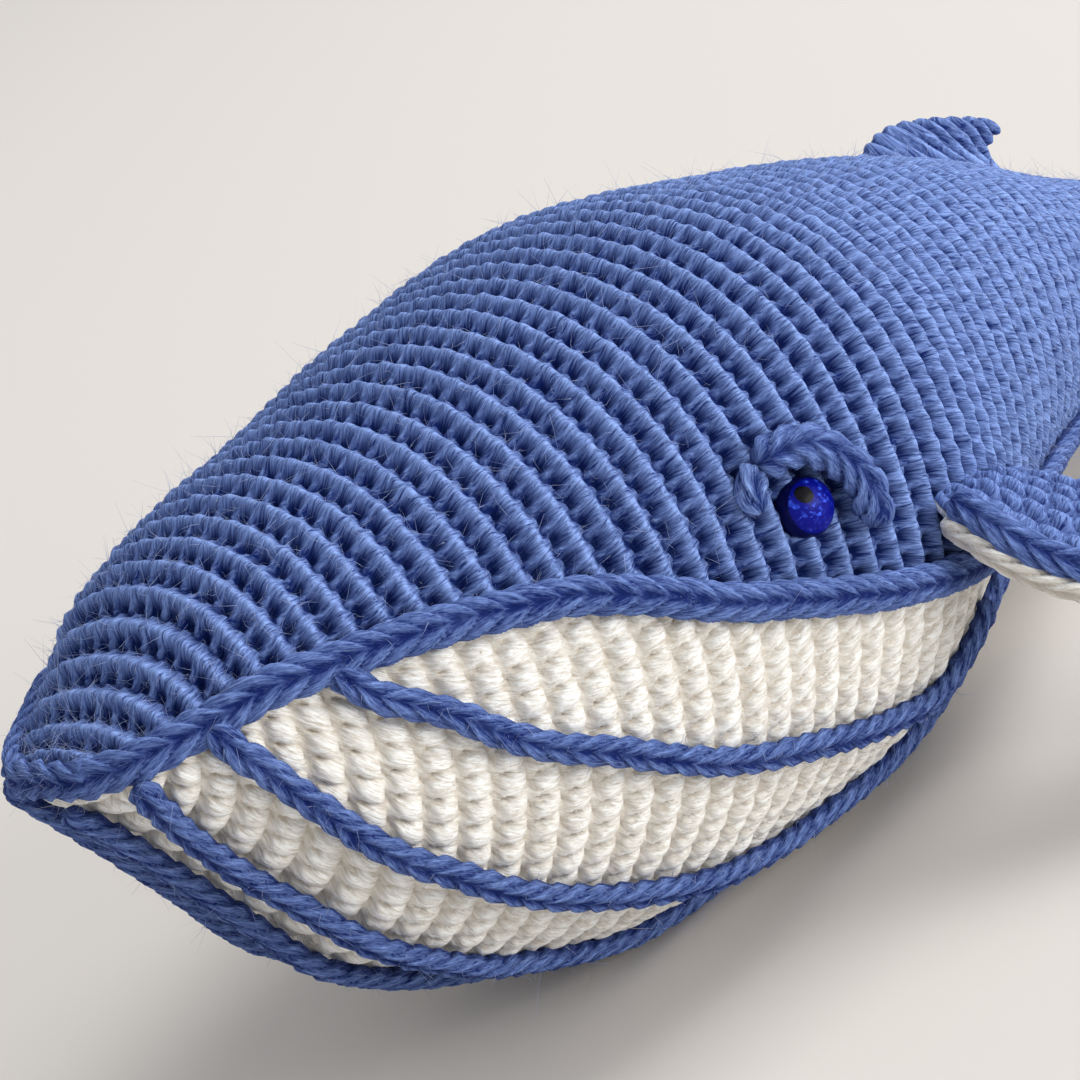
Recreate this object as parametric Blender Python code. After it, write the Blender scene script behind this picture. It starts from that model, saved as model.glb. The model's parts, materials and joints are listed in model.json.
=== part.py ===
"""A crocheted plush whale, built as the sewn and fastened pieces of the real toy.

The whale lies along X with its nose towards -X. Its body is laid out along a straight body
line, as cross-sections square to that line. The whole toy is then tipped, nose up, until it
rests on its belly and on the end of its tail. Units are metres and +Z is up.
"""
import math

import bmesh
import bpy
from mathutils import Matrix, Vector

MM = 0.001

# Body
BODY_LENGTH = 305 * MM
BODY_HALF_WIDTH = 55.2 * MM
BODY_HEIGHT = 103.7 * MM
NOSE_DOME = 2 * MM
TAIL_DOME = 5 * MM
FABRIC_THICKNESS = 3 * MM
SEWN_GAP = 0.3 * MM
BELLY_SQUASH = 3.6 * MM
TAIL_FLAT_DEPTH = 0.5 * MM
CUTTER_OVERRUN = 20 * MM
WELD = 0.001 * MM

# Chains laid on the fabric
PLEAT_RADIUS = 1.6 * MM
LIP_RADIUS = 1.8 * MM
CHAIN_GAP = 0.4 * MM
CHAIN_STEP = 6.5 * MM
FLAT_OF_CHAIN_SHARE = 0.2

# Eyes
EYE_RADIUS = 4.5 * MM
EYE_DOME_HEIGHT = 3.6 * MM
EYE_RIM_HEIGHT = 0.6 * MM
STEM_RADIUS = 1.6 * MM
STEM_LENGTH = 12 * MM
STEM_CLEARANCE = 0.3 * MM
WASHER_RADIUS = 5.5 * MM
WASHER_THICKNESS = 1.6 * MM
WASHER_CLEARANCE = 0.15 * MM
WASHER_SEAT = 1.2 * MM
EYELID_RADIUS = 2.0 * MM

# Flippers
FLIPPER_SPAN = 68 * MM
FLIPPER_ROOT_CHORD = 25 * MM
FLIPPER_CROWN = 3.4 * MM
FLIPPER_EDGE = 2.2 * MM
FLIPPER_ROOT_OFFSET = 4.6 * MM
FLIPPER_DROOP = math.radians(30)

# Dorsal fin
FIN_LENGTH = 33 * MM
FIN_HEIGHT = 10.5 * MM
FIN_HALF_THICKNESS = 3.4 * MM

# Flukes
FLUKE_SPAN = 62 * MM
FLUKE_ROOT_CHORD = 27 * MM
FLUKE_CROWN = 3.6 * MM
FLUKE_EDGE = 0.9 * MM
FLUKE_HINGE_SETBACK = 1.5 * MM

# Body profile: along the length, and there the top, the bottom and the seam as shares of the
# height, and the half width as a share of the greatest half width
body_shares = [
    (0.000, 0.590, 0.537, 0.568, 0.137),
    (0.013, 0.615, 0.506, 0.575, 0.249),
    (0.040, 0.685, 0.420, 0.593, 0.350),
    (0.072, 0.767, 0.308, 0.613, 0.452),
    (0.118, 0.819, 0.155, 0.614, 0.579),
    (0.190, 0.871, 0.058, 0.593, 0.746),
    (0.282, 0.948, 0.000, 0.490, 0.909),
    (0.400, 1.000, 0.028, 0.405, 1.000),
    (0.525, 0.961, 0.155, 0.377, 0.792),
    (0.656, 0.872, 0.303, 0.391, 0.551),
    (0.770, 0.752, 0.366, 0.384, 0.362),
    (0.885, 0.646, 0.357, 0.337, 0.263),
    (1.000, 0.530, 0.328, 0.281, 0.199),
]
SECTION_POWER = 2.2
BELLY_POWER = 1.98
seam_end_share = 0.81
body_station_shares = [
    0.0, 0.008, 0.02, 0.04, 0.065, 0.09, 0.12, 0.155, 0.19, 0.23, 0.27, 0.31, 0.35, 0.39, 0.43,
    0.47, 0.51, 0.55, 0.6, 0.65, 0.7, 0.76, 0.82, 0.88, 0.94, 1.0,
]
RING_SIDES = 32
CAP_RINGS = 2

# Routes on the left side: share of the length, and degrees above the widest line
pleat_shares = {
    1: [(0.104, 10), (0.115, 7.5), (0.131, 3), (0.151, -3), (0.171, -8), (0.196, -12), (0.241, -20),
        (0.301, -27), (0.360, -34), (0.409, -38), (0.435, -36), (0.462, -31)],
    2: [(0.047, 0), (0.053, -6), (0.067, -18), (0.085, -26), (0.103, -30), (0.123, -33), (0.146, -38),
        (0.171, -42), (0.204, -46), (0.246, -49), (0.300, -53), (0.350, -56), (0.400, -56),
        (0.443, -52), (0.485, -46), (0.518, -39)],
    3: [(0.017, -30), (0.027, -45), (0.036, -53), (0.051, -60), (0.071, -63), (0.089, -63),
        (0.106, -63), (0.131, -65), (0.165, -70), (0.205, -74), (0.260, -76), (0.320, -76),
        (0.380, -74), (0.440, -67), (0.492, -60), (0.541, -53), (0.577, -47)],
}
keel_shares = [(0.010, -90), (0.120, -90), (0.330, -90), (0.500, -90), (0.660, -90)]
eyelid_shares = [(0.293, 19), (0.304, 22), (0.322, 23), (0.338, 21.5), (0.351, 17.5), (0.362, 12),
                 (0.367, 7), (0.366, 2)]
eye_place_share = (0.3256, 10)
flipper_root_shares = [(0.395, 1), (0.478, -5)]
fin_start_share = 0.633

# Outlines: along the span, then the leading and the trailing edge as shares of the root chord
flipper_outline_shares = [
    (-0.024, 0.04, 0.96), (0.0, 0.0, 1.0), (0.12, -0.03, 1.10), (0.3, 0.06, 1.22), (0.5, 0.26, 1.32),
    (0.7, 0.56, 1.42), (0.86, 0.86, 1.50), (0.96, 1.10, 1.52), (1.0, 1.26, 1.45),
]
fluke_outline_shares = [
    (0.004, 0.0, 0.74), (0.1, 0.0, 0.86), (0.18, 0.03, 0.98), (0.35, 0.22, 1.12), (0.55, 0.50, 1.22),
    (0.75, 0.80, 1.34), (0.9, 1.05, 1.42), (1.0, 1.30, 1.44),
]
# Dorsal fin: height, then its front and back edge as shares of its length
fin_outline_shares = [(0.0, 0.0, 1.0), (0.3, 0.06, 0.99), (0.55, 0.2, 1.03), (0.75, 0.45, 1.12),
                      (0.9, 0.72, 1.17), (1.0, 0.95, 1.14)]
flipper_taper_share = 0.25
flipper_tip_share = 0.45
fluke_taper_share = 0.35
fluke_tip_share = 0.5
fin_taper_share = 0.8

# Fineness of the shapes
CHORD_STEPS = 8
FIN_SIDES = 14
EYE_SIDES = 20
EYE_DOME_STEPS = 5
ROUTE_STEPS = 40
SEAM_STEPS = 200
NOSE_STEPS = 20
NORMAL_STEP = 0.004
REST_STEPS = 100

MATERIALS = {
    "blue_yarn": ((0.075, 0.125, 0.40), 0.92),
    "dark_blue_yarn": ((0.045, 0.075, 0.28), 0.92),
    "cream_yarn": ((0.80, 0.75, 0.66), 0.92),
    "blue_plastic": ((0.01, 0.02, 0.55), 0.12),
    "white_plastic": ((0.85, 0.85, 0.82), 0.40),
    "filling": ((0.90, 0.90, 0.88), 1.0),
}


def clear_scene():
    for thing in list(bpy.data.objects):
        bpy.data.objects.remove(thing, do_unlink=True)


def make_material(name):
    colour, roughness = MATERIALS[name]
    material = bpy.data.materials.new(name)
    material.use_nodes = True
    shader = material.node_tree.nodes["Principled BSDF"]
    shader.inputs["Base Color"].default_value = (*colour, 1.0)
    shader.inputs["Roughness"].default_value = roughness
    shader.inputs["Metallic"].default_value = 0.0
    return material


def smooth_value(table, column, at):
    """Read one column of a table at a place, along a smooth curve that never overshoots."""
    places = [row[0] for row in table]
    values = [row[column] for row in table]
    slopes = [(values[i + 1] - values[i]) / (places[i + 1] - places[i]) for i in range(len(places) - 1)]
    bends = [slopes[0]]
    for before, after in zip(slopes, slopes[1:]):
        bends.append(0.0 if before * after <= 0 else 2 * before * after / (before + after))
    bends.append(slopes[-1])
    at = min(max(at, places[0]), places[-1])
    i = max(k for k in range(len(places) - 1) if places[k] <= at)
    width = places[i + 1] - places[i]
    t = (at - places[i]) / width
    return ((1 + 2 * t) * (1 - t) ** 2 * values[i] + t * (1 - t) ** 2 * width * bends[i]
            + t * t * (3 - 2 * t) * values[i + 1] + t * t * (t - 1) * width * bends[i + 1])


def section_sizes(share, inset=0.0):
    """Middle height, half height, half width and seam height of the section at a share of the length."""
    top, bottom, seam, width = (smooth_value(body_shares, column, share) for column in (1, 2, 3, 4))
    middle = (top + bottom) / 2 * BODY_HEIGHT
    half_height = (top - bottom) / 2 * BODY_HEIGHT - inset
    return middle, half_height, width * BODY_HALF_WIDTH - inset, seam * BODY_HEIGHT


def rounded(value, power):
    return math.copysign(abs(value) ** power, value)


def body_point(share, turn, inset=0.0, scale=1.0, ahead=0.0):
    """Point on a section. The turn is 0 at the left side, 90 degrees on top and -90 below."""
    middle, half_height, half_width, _ = section_sizes(share, inset)
    along = inset + share * (BODY_LENGTH - 2 * inset) + ahead
    power = 2 / (SECTION_POWER if math.sin(turn) > 0 else BELLY_POWER)
    across = -half_width * scale * rounded(math.cos(turn), power)
    return Vector((along, across, middle + half_height * scale * rounded(math.sin(turn), power)))


def outward(share, turn):
    """Unit normal of the body surface, from steps to each side of the point."""
    lengthwise = body_point(min(share + NORMAL_STEP, 1), turn) - body_point(max(share - NORMAL_STEP, 0), turn)
    around = body_point(share, turn + NORMAL_STEP) - body_point(share, turn - NORMAL_STEP)
    normal = lengthwise.cross(around).normalized()
    centre = body_point(share, 0)
    centre.y = 0.0
    return normal if normal.dot(body_point(share, turn) - centre) > 0 else -normal


def seam_turn(share):
    middle, half_height, _, seam = section_sizes(share)
    height = min(max((seam - middle) / half_height, -1), 1)
    return math.asin(rounded(height, (SECTION_POWER if height > 0 else BELLY_POWER) / 2))


# How the toy rests
chain_flat = 2 * PLEAT_RADIUS * FLAT_OF_CHAIN_SHARE / 2
belly_clearance = 2 * PLEAT_RADIUS - chain_flat + CHAIN_GAP
sink_below_belly = belly_clearance - BELLY_SQUASH + TAIL_FLAT_DEPTH


def rest_pitch():
    """Slope of the line that the belly and the lowest point of the tail's end both rest on."""
    tail = body_point(1, math.radians(-90))
    slopes = []
    for step in range(REST_STEPS):
        belly = body_point(step / REST_STEPS * seam_end_share, math.radians(-90))
        slopes.append((tail.z - belly.z + sink_below_belly) / (tail.x - belly.x))
    return math.atan(max(slopes))


PITCH = rest_pitch()
TILT = Matrix.Rotation(PITCH, 4, "Y")
fluke_reach = TAIL_DOME + SEWN_GAP + FLUKE_HINGE_SETBACK
chain_reach = LIP_RADIUS + CHAIN_GAP


def middle_of_length():
    """Halfway between the chain round the nose and the tips of the flukes."""
    nose = TILT @ Vector((-NOSE_DOME - chain_reach, 0, section_sizes(0)[3]))
    flukes = TILT @ body_point(1, 0, 0, 0, fluke_reach)
    tips = max(back for _, _, back in fluke_outline_shares) * FLUKE_ROOT_CHORD
    return (nose.x - LIP_RADIUS + flukes.x - FLUKE_HINGE_SETBACK + tips) / 2


LOWEST_TAIL = (TILT @ body_point(1, math.radians(-90))).z
REST = Matrix.Translation((-middle_of_length(), 0, -LOWEST_TAIL - TAIL_FLAT_DEPTH)) @ TILT


def rested(point, floor):
    """Place a point of the body in the world and press it up where it would go under the floor."""
    placed = REST @ point
    placed.z = max(placed.z, floor)
    return placed


def floor_under(share, inset=0.0):
    """The belly is pressed up by the chains under it, and the tail is left to the level cut."""
    return (belly_clearance if share < (1 + seam_end_share) / 2 else -BODY_HEIGHT) + inset


def cut_level(bm, height):
    """Take away what lies under a height, and close the opening with a flat face."""
    geometry = bm.verts[:] + bm.edges[:] + bm.faces[:]
    result = bmesh.ops.bisect_plane(bm, geom=geometry, plane_co=(0, 0, height), plane_no=(0, 0, -1),
                                    clear_outer=True)
    rim = [item for item in result["geom_cut"] if isinstance(item, bmesh.types.BMEdge)]
    if rim:
        bmesh.ops.triangle_fill(bm, edges=rim, use_beauty=True)
    return bm


def add_object(name, bm, material):
    bmesh.ops.remove_doubles(bm, verts=bm.verts[:], dist=WELD)
    bmesh.ops.triangulate(bm, faces=bm.faces[:])
    bmesh.ops.recalc_face_normals(bm, faces=bm.faces[:])
    mesh = bpy.data.meshes.new(name)
    bm.to_mesh(mesh)
    bm.free()
    mesh.materials.append(material)
    mesh.shade_smooth()
    mesh.set_sharp_from_angle(angle=math.radians(50))
    thing = bpy.data.objects.new(name, mesh)
    bpy.context.scene.collection.objects.link(thing)
    return thing


def loft(rings, start=None, end=None):
    """Closed skin over rings of points, each end closed by a fan to a point."""
    bm = bmesh.new()
    rows = [[bm.verts.new(point) for point in ring] for ring in rings]
    count = len(rows[0])
    for low, high in zip(rows, rows[1:]):
        for i in range(count):
            bm.faces.new((low[i], low[(i + 1) % count], high[(i + 1) % count], high[i]))
    for row, ring, tip in ((rows[0], rings[0], start), (rows[-1], rings[-1], end)):
        middle = tip if tip is not None else sum(ring, Vector()) / count
        centre = bm.verts.new(middle)
        for i in range(count):
            bm.faces.new((row[i], row[(i + 1) % count], centre))
    return bm


def body_skin(inset):
    """Closed skin of the body, moved in by the inset, with a domed nose and tail end."""
    turns = [2 * math.pi * i / RING_SIDES for i in range(RING_SIDES)]
    rings = []
    for k in range(CAP_RINGS, 0, -1):
        bend = math.pi / 2 * k / (CAP_RINGS + 1)
        rings.append([rested(body_point(0, turn, inset, math.cos(bend), -NOSE_DOME * math.sin(bend)),
                             floor_under(0, inset)) for turn in turns])
    for share in body_station_shares:
        rings.append([rested(body_point(share, turn, inset), floor_under(share, inset)) for turn in turns])
    for k in range(1, CAP_RINGS + 1):
        bend = math.pi / 2 * k / (CAP_RINGS + 1)
        rings.append([rested(body_point(1, turn, inset, math.cos(bend), TAIL_DOME * math.sin(bend)),
                             floor_under(1, inset)) for turn in turns])
    nose = REST @ body_point(0, 0, inset, 0, -NOSE_DOME)
    tail = REST @ body_point(1, 0, inset, 0, TAIL_DOME)
    return cut_level(loft(rings, nose, tail), inset)


def cut(thing, cutter_bm, operation="DIFFERENCE"):
    """Apply a Boolean with a passing cutter, and leave only its result."""
    cutter_mesh = bpy.data.meshes.new("cutter")
    bmesh.ops.triangulate(cutter_bm, faces=cutter_bm.faces[:])
    bmesh.ops.recalc_face_normals(cutter_bm, faces=cutter_bm.faces[:])
    cutter_bm.to_mesh(cutter_mesh)
    cutter_bm.free()
    cutter = bpy.data.objects.new("cutter", cutter_mesh)
    bpy.context.scene.collection.objects.link(cutter)
    modifier = thing.modifiers.new("cut", "BOOLEAN")
    modifier.operation = operation
    modifier.solver = "EXACT"
    modifier.object = cutter
    shaped = bpy.data.meshes.new_from_object(thing.evaluated_get(bpy.context.evaluated_depsgraph_get()))
    thing.modifiers.clear()
    thing.data = shaped
    bpy.data.objects.remove(cutter, do_unlink=True)


def below_seam(shift):
    """Prism of everything under the seam line, its top moved up or down by the shift."""
    side = BODY_HALF_WIDTH + CUTTER_OVERRUN
    outline = [(-CUTTER_OVERRUN, section_sizes(0)[3] + shift)]
    for share in body_station_shares:
        outline.append((share * BODY_LENGTH, section_sizes(share)[3] + shift))
    last = BODY_LENGTH + CUTTER_OVERRUN
    outline.append((last, section_sizes(1)[3] + shift - CUTTER_OVERRUN))
    outline += [(last, -3 * CUTTER_OVERRUN), (-CUTTER_OVERRUN, -3 * CUTTER_OVERRUN)]
    bm = bmesh.new()
    ends = [[bm.verts.new(REST @ Vector((x, y, z))) for x, z in outline] for y in (-side, side)]
    for end in ends:
        bm.faces.new(end)
    for i in range(len(outline)):
        j = (i + 1) % len(outline)
        bm.faces.new((ends[0][i], ends[0][j], ends[1][j], ends[1][i]))
    return bm


def turned(profile, frame):
    """Rings about the local Z of a frame, from a profile of radii and heights."""
    bends = [2 * math.pi * i / EYE_SIDES for i in range(EYE_SIDES)]
    return [[frame @ Vector((radius * math.cos(bend), radius * math.sin(bend), height)) for bend in bends]
            for radius, height in profile]


def chain(name, points, radius, material):
    """Round cord through points, cut flat where it would go under the ground."""
    curve = bpy.data.curves.new(name, "CURVE")
    curve.dimensions = "3D"
    curve.bevel_depth = radius
    curve.bevel_resolution = 2
    curve.use_fill_caps = True
    spline = curve.splines.new("POLY")
    spline.points.add(len(points) - 1)
    for slot, point in zip(spline.points, points):
        slot.co = (*point, 1.0)
    guide = bpy.data.objects.new(name + "_guide", curve)
    bpy.context.scene.collection.objects.link(guide)
    mesh = bpy.data.meshes.new_from_object(guide.evaluated_get(bpy.context.evaluated_depsgraph_get()))
    bpy.data.objects.remove(guide, do_unlink=True)
    bm = bmesh.new()
    bm.from_mesh(mesh)
    bmesh.ops.remove_doubles(bm, verts=bm.verts[:], dist=WELD)
    return add_object(name, cut_level(bm, 0), material)


def route(table, side, radius, step=CHAIN_STEP):
    """Evenly spaced points over the body along a table of length shares and angles."""
    fine = []
    rows = [(i, share, angle) for i, (share, angle) in enumerate(table)]
    for k in range(ROUTE_STEPS * (len(table) - 1) + 1):
        place = k / ROUTE_STEPS
        share = smooth_value(rows, 1, place)
        turn = math.radians(smooth_value(rows, 2, place))
        point = body_point(share, turn) + outward(share, turn) * (radius + CHAIN_GAP)
        fine.append(rested(Vector((point.x, -side * point.y, point.z)), radius - chain_flat))
    return spaced(fine, step)


def spaced(points, step):
    """Pick points at equal distances along a fine line."""
    lengths = [0.0]
    for before, after in zip(points, points[1:]):
        lengths.append(lengths[-1] + (after - before).length)
    count = max(2, round(lengths[-1] / step))
    picked = []
    i = 0
    for k in range(count + 1):
        target = lengths[-1] * k / count
        while i < len(points) - 2 and lengths[i + 1] < target:
            i += 1
        t = (target - lengths[i]) / (lengths[i + 1] - lengths[i])
        picked.append(points[i].lerp(points[i + 1], t))
    return picked


def seam_route():
    """The seam line from the tail along the left side, round the nose and back on the right."""
    left = []
    for k in range(SEAM_STEPS + 1):
        share = seam_end_share * (1 - k / SEAM_STEPS)
        turn = seam_turn(share)
        left.append(body_point(share, turn) + outward(share, turn) * chain_reach)
    nose = []
    _, _, _, seam = section_sizes(0)
    half_width = -left[-1].y
    for k in range(1, NOSE_STEPS):
        bend = math.pi * k / NOSE_STEPS
        ahead = (NOSE_DOME + chain_reach) * math.sin(bend) - left[-1].x * (1 - math.sin(bend))
        nose.append(Vector((-ahead, -half_width * math.cos(bend), seam)))
    right = [Vector((p.x, -p.y, p.z)) for p in reversed(left)]
    return spaced([REST @ p for p in left + nose + right], CHAIN_STEP)


def surface_frame(share, turn, side):
    """Frame standing on the body surface, local Z outward."""
    point = body_point(share, turn)
    normal = outward(share, turn)
    point.y *= -side
    normal.y *= -side
    spin = normal.to_track_quat("Z", "X").to_matrix().to_4x4()
    return REST @ Matrix.Translation(point) @ spin


def build_eye(side, name, materials, fabric, filling):
    """Plastic eye with its stem through the fabric and the washer that locks it from inside."""
    share, degrees = eye_place_share
    frame = surface_frame(share, math.radians(degrees), side)
    seat = SEWN_GAP
    profile = [(STEM_RADIUS, seat - STEM_LENGTH), (STEM_RADIUS, seat), (EYE_RADIUS, seat),
               (EYE_RADIUS, seat + EYE_RIM_HEIGHT)]
    for k in range(1, EYE_DOME_STEPS):
        bend = math.pi / 2 * k / EYE_DOME_STEPS
        height = seat + EYE_RIM_HEIGHT + EYE_DOME_HEIGHT * math.sin(bend)
        profile.append((EYE_RADIUS * math.cos(bend), height))
    add_object("eye_" + name, loft(turned(profile, frame)), materials["blue_plastic"])

    top = -FABRIC_THICKNESS - WASHER_SEAT
    bore = STEM_RADIUS + WASHER_CLEARANCE
    under = top - WASHER_THICKNESS
    ring = [(bore, under), (WASHER_RADIUS, under), (WASHER_RADIUS, top), (bore, top)]
    rings = turned(ring, frame)
    bm = bmesh.new()
    rows = [[bm.verts.new(point) for point in row] for row in rings]
    for k in range(len(rows)):
        low, high = rows[k], rows[(k + 1) % len(rows)]
        for i in range(EYE_SIDES):
            j = (i + 1) % EYE_SIDES
            bm.faces.new((low[i], low[j], high[j], high[i]))
    add_object("eye_washer_" + name, bm, materials["white_plastic"])

    hole = STEM_RADIUS + STEM_CLEARANCE
    cut(fabric, loft(turned([(hole, -2 * FABRIC_THICKNESS), (hole, FABRIC_THICKNESS)], frame)))
    room = WASHER_RADIUS + SEWN_GAP
    depth = STEM_LENGTH + SEWN_GAP
    cut(filling, loft(turned([(room, -depth), (room, FABRIC_THICKNESS)], frame)))
    lid = route(eyelid_shares, side, EYELID_RADIUS, CHAIN_STEP / 2)
    chain("eyelid_" + name, lid, EYELID_RADIUS, materials["blue_yarn"])


def leaf_ring(origin, along, span_way, up, span, front, back, heights):
    """One chord section of a leaf: its lower side from front to back, then its upper side."""
    ring = []
    for row in heights:
        steps = range(CHORD_STEPS + 1) if row is heights[0] else range(CHORD_STEPS, -1, -1)
        for k in steps:
            chord = front + (back - front) * k / CHORD_STEPS
            ring.append(origin + along * chord + span_way * span + up * row[k])
    return ring


def crowned(edge, crown, share):
    """Heights over one chord, from the edge thickness to the crown and back."""
    heights = []
    for k in range(CHORD_STEPS + 1):
        across = 2 * k / CHORD_STEPS - 1
        heights.append((edge + (crown - edge) * (1 - across * across)) * share)
    return heights


def flipper_axis(side):
    """Ends of the sewn root line, lifted off the body by the root offset."""
    ends = []
    for share, degrees in flipper_root_shares:
        turn = math.radians(degrees)
        point = body_point(share, turn) + outward(share, turn) * FLIPPER_ROOT_OFFSET
        ends.append(Vector((point.x, -side * point.y, point.z)))
    return ends


def build_flipper(side, name, materials):
    """Blue leaf over a cream one, both turning about the sewn root line."""
    front_end, back_end = flipper_axis(side)
    along = (back_end - front_end).normalized()
    level = Vector((0, side, 0))
    level = (level - along * level.dot(along)).normalized()
    rise = along.cross(level).normalized()
    rise = rise if rise.z > 0 else -rise
    span_way = level * math.cos(FLIPPER_DROOP) - rise * math.sin(FLIPPER_DROOP)
    up = rise * math.cos(FLIPPER_DROOP) + level * math.sin(FLIPPER_DROOP)
    root = (front_end + back_end) / 2 - along * FLIPPER_ROOT_CHORD / 2
    for layer, sign, colour in (("top", 1, "blue_yarn"), ("underside", -1, "cream_yarn")):
        rings = []
        for row, (span, front, back) in enumerate(flipper_outline_shares):
            thin = flipper_tip_share if row in (0, len(flipper_outline_shares) - 1) else 1.0
            thin *= 1 - flipper_taper_share * max(span, 0)
            inner = [SEWN_GAP / 2 * sign] * (CHORD_STEPS + 1)
            outer = [(SEWN_GAP / 2 + height) * sign for height in crowned(FLIPPER_EDGE, FLIPPER_CROWN, thin)]
            rings.append(leaf_ring(root, along, span_way, up, span * FLIPPER_SPAN,
                                   front * FLIPPER_ROOT_CHORD, back * FLIPPER_ROOT_CHORD, [inner, outer]))
        placed = [[REST @ point - REST @ root for point in ring] for ring in rings]
        leaf = add_object("flipper_" + name + "_" + layer, loft(placed), materials[colour])
        leaf.location = REST @ root


def build_fin(materials):
    """Back-hooked fin, a stack of ellipses that stand on the ridge of the back."""
    start = fin_start_share * BODY_LENGTH
    rings = []
    for height, front, back in fin_outline_shares:
        middle = start + (front + back) / 2 * FIN_LENGTH
        half = (back - front) / 2 * FIN_LENGTH
        thickness = FIN_HALF_THICKNESS * math.sqrt(1 - fin_taper_share * height * height)
        ring = []
        for i in range(FIN_SIDES):
            bend = 2 * math.pi * i / FIN_SIDES
            x = middle + half * math.cos(bend)
            ridge = body_point(min(x / BODY_LENGTH, 1), math.pi / 2).z
            y = thickness * math.sin(bend)
            ring.append(REST @ Vector((x, y, ridge + SEWN_GAP + height * FIN_HEIGHT)))
        rings.append(ring)
    add_object("dorsal_fin", loft(rings), materials["blue_yarn"])


def fluke_root():
    """Middle of the line that the flukes turn about, just behind the end of the tail."""
    return REST @ body_point(1, 0, 0, 0, fluke_reach)


def build_fluke(side, name, materials):
    """One lobe, level at rest, turning close to its front edge, where it is sewn to the tail."""
    root = fluke_root()
    edge = Vector((-FLUKE_HINGE_SETBACK, 0, 0))
    rings = []
    for row, (span, front, back) in enumerate(fluke_outline_shares):
        thin = fluke_tip_share if row == len(fluke_outline_shares) - 1 else 1.0
        thin *= 1 - fluke_taper_share * span
        upper = crowned(FLUKE_EDGE, FLUKE_CROWN, thin)
        lower = [-height for height in upper]
        rings.append(leaf_ring(edge, Vector((1, 0, 0)), Vector((0, side, 0)), Vector((0, 0, 1)),
                               span * FLUKE_SPAN, front * FLUKE_ROOT_CHORD, back * FLUKE_ROOT_CHORD,
                               [lower, upper]))
    lobe = add_object("fluke_" + name, loft(rings), materials["blue_yarn"])
    lobe.location = root


def main():
    clear_scene()
    materials = {name: make_material(name) for name in MATERIALS}

    back = add_object("back_panel", body_skin(0.0), materials["blue_yarn"])
    cut(back, body_skin(FABRIC_THICKNESS))
    belly = bpy.data.objects.new("belly_panel", back.data.copy())
    bpy.context.scene.collection.objects.link(belly)
    belly.data.materials.clear()
    cut(back, below_seam(SEWN_GAP / 2))
    cut(belly, below_seam(-SEWN_GAP / 2), "INTERSECT")
    belly.data.materials.clear()
    belly.data.materials.append(materials["cream_yarn"])
    filling = add_object("body_stuffing", body_skin(FABRIC_THICKNESS + SEWN_GAP), materials["filling"])

    chain("lip_chain", seam_route(), LIP_RADIUS, materials["blue_yarn"])
    chain("pleat_keel", route(keel_shares, -1, PLEAT_RADIUS), PLEAT_RADIUS, materials["dark_blue_yarn"])
    for name, side in (("left", -1), ("right", 1)):
        for number, table in pleat_shares.items():
            points = route(table, side, PLEAT_RADIUS)
            chain("pleat_" + name + "_" + str(number), points, PLEAT_RADIUS, materials["dark_blue_yarn"])
        build_eye(side, name, materials, back, filling)
        build_flipper(side, name, materials)
        build_fluke(side, name, materials)
    build_fin(materials)


main()
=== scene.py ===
# %% [markdown]
# This lesson dresses a crocheted plush whale. The construction model gives the plain solids and the
# joints. The real toy gets its looks from yarn: ribs across a blue back, puffy cream columns under
# the throat, and braided chains between them. Each is a surface worked out with numpy, where the
# stitches are a height added along the surface's normal. That keeps every stitch at its real size.

# %% Load the fixed frame
import json
import math
from functools import partial

import bpy
import numpy as np
from mathutils import Matrix, Vector

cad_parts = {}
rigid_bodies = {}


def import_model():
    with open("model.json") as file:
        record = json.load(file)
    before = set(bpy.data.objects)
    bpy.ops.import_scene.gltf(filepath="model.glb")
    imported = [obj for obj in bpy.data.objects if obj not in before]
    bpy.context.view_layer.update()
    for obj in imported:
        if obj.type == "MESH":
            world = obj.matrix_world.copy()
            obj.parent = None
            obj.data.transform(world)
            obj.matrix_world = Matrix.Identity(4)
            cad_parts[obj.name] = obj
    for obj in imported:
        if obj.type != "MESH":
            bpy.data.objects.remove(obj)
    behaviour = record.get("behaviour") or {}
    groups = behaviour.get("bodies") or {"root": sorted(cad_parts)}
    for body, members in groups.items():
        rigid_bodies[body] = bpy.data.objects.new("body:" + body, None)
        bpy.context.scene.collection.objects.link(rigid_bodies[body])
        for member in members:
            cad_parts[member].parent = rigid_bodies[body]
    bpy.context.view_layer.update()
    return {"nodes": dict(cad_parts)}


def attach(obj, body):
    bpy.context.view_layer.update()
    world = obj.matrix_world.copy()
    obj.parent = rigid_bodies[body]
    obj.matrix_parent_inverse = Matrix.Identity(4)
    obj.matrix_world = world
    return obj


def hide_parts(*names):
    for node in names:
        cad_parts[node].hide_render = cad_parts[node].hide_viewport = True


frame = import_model()
MM = 0.001

# %% [markdown]
# The camera stands where the photographer stood: close, a little above the left eye, and rolled to
# one side. The place was measured in the straight body's own frame, so the same rest placement that
# tips the whale onto its belly and tail carries the camera along with it.

# %% Rest placement and camera
TILT = math.asin(0.16873124)
REST = Matrix.Translation((-0.17810731, 0, 0.01743712)) @ Matrix.Rotation(TILT, 4, "Y")
REST_ARRAY = np.array(REST)
CAMERA_PLACE = Vector((-0.2360, -0.3538, 0.1610))
CAMERA_TURN = [math.radians(a) for a in (46.799, -11.948, -15.583)]
FOCAL_SHARE = 3265.9 / 1080
SENSOR = 36


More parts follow.
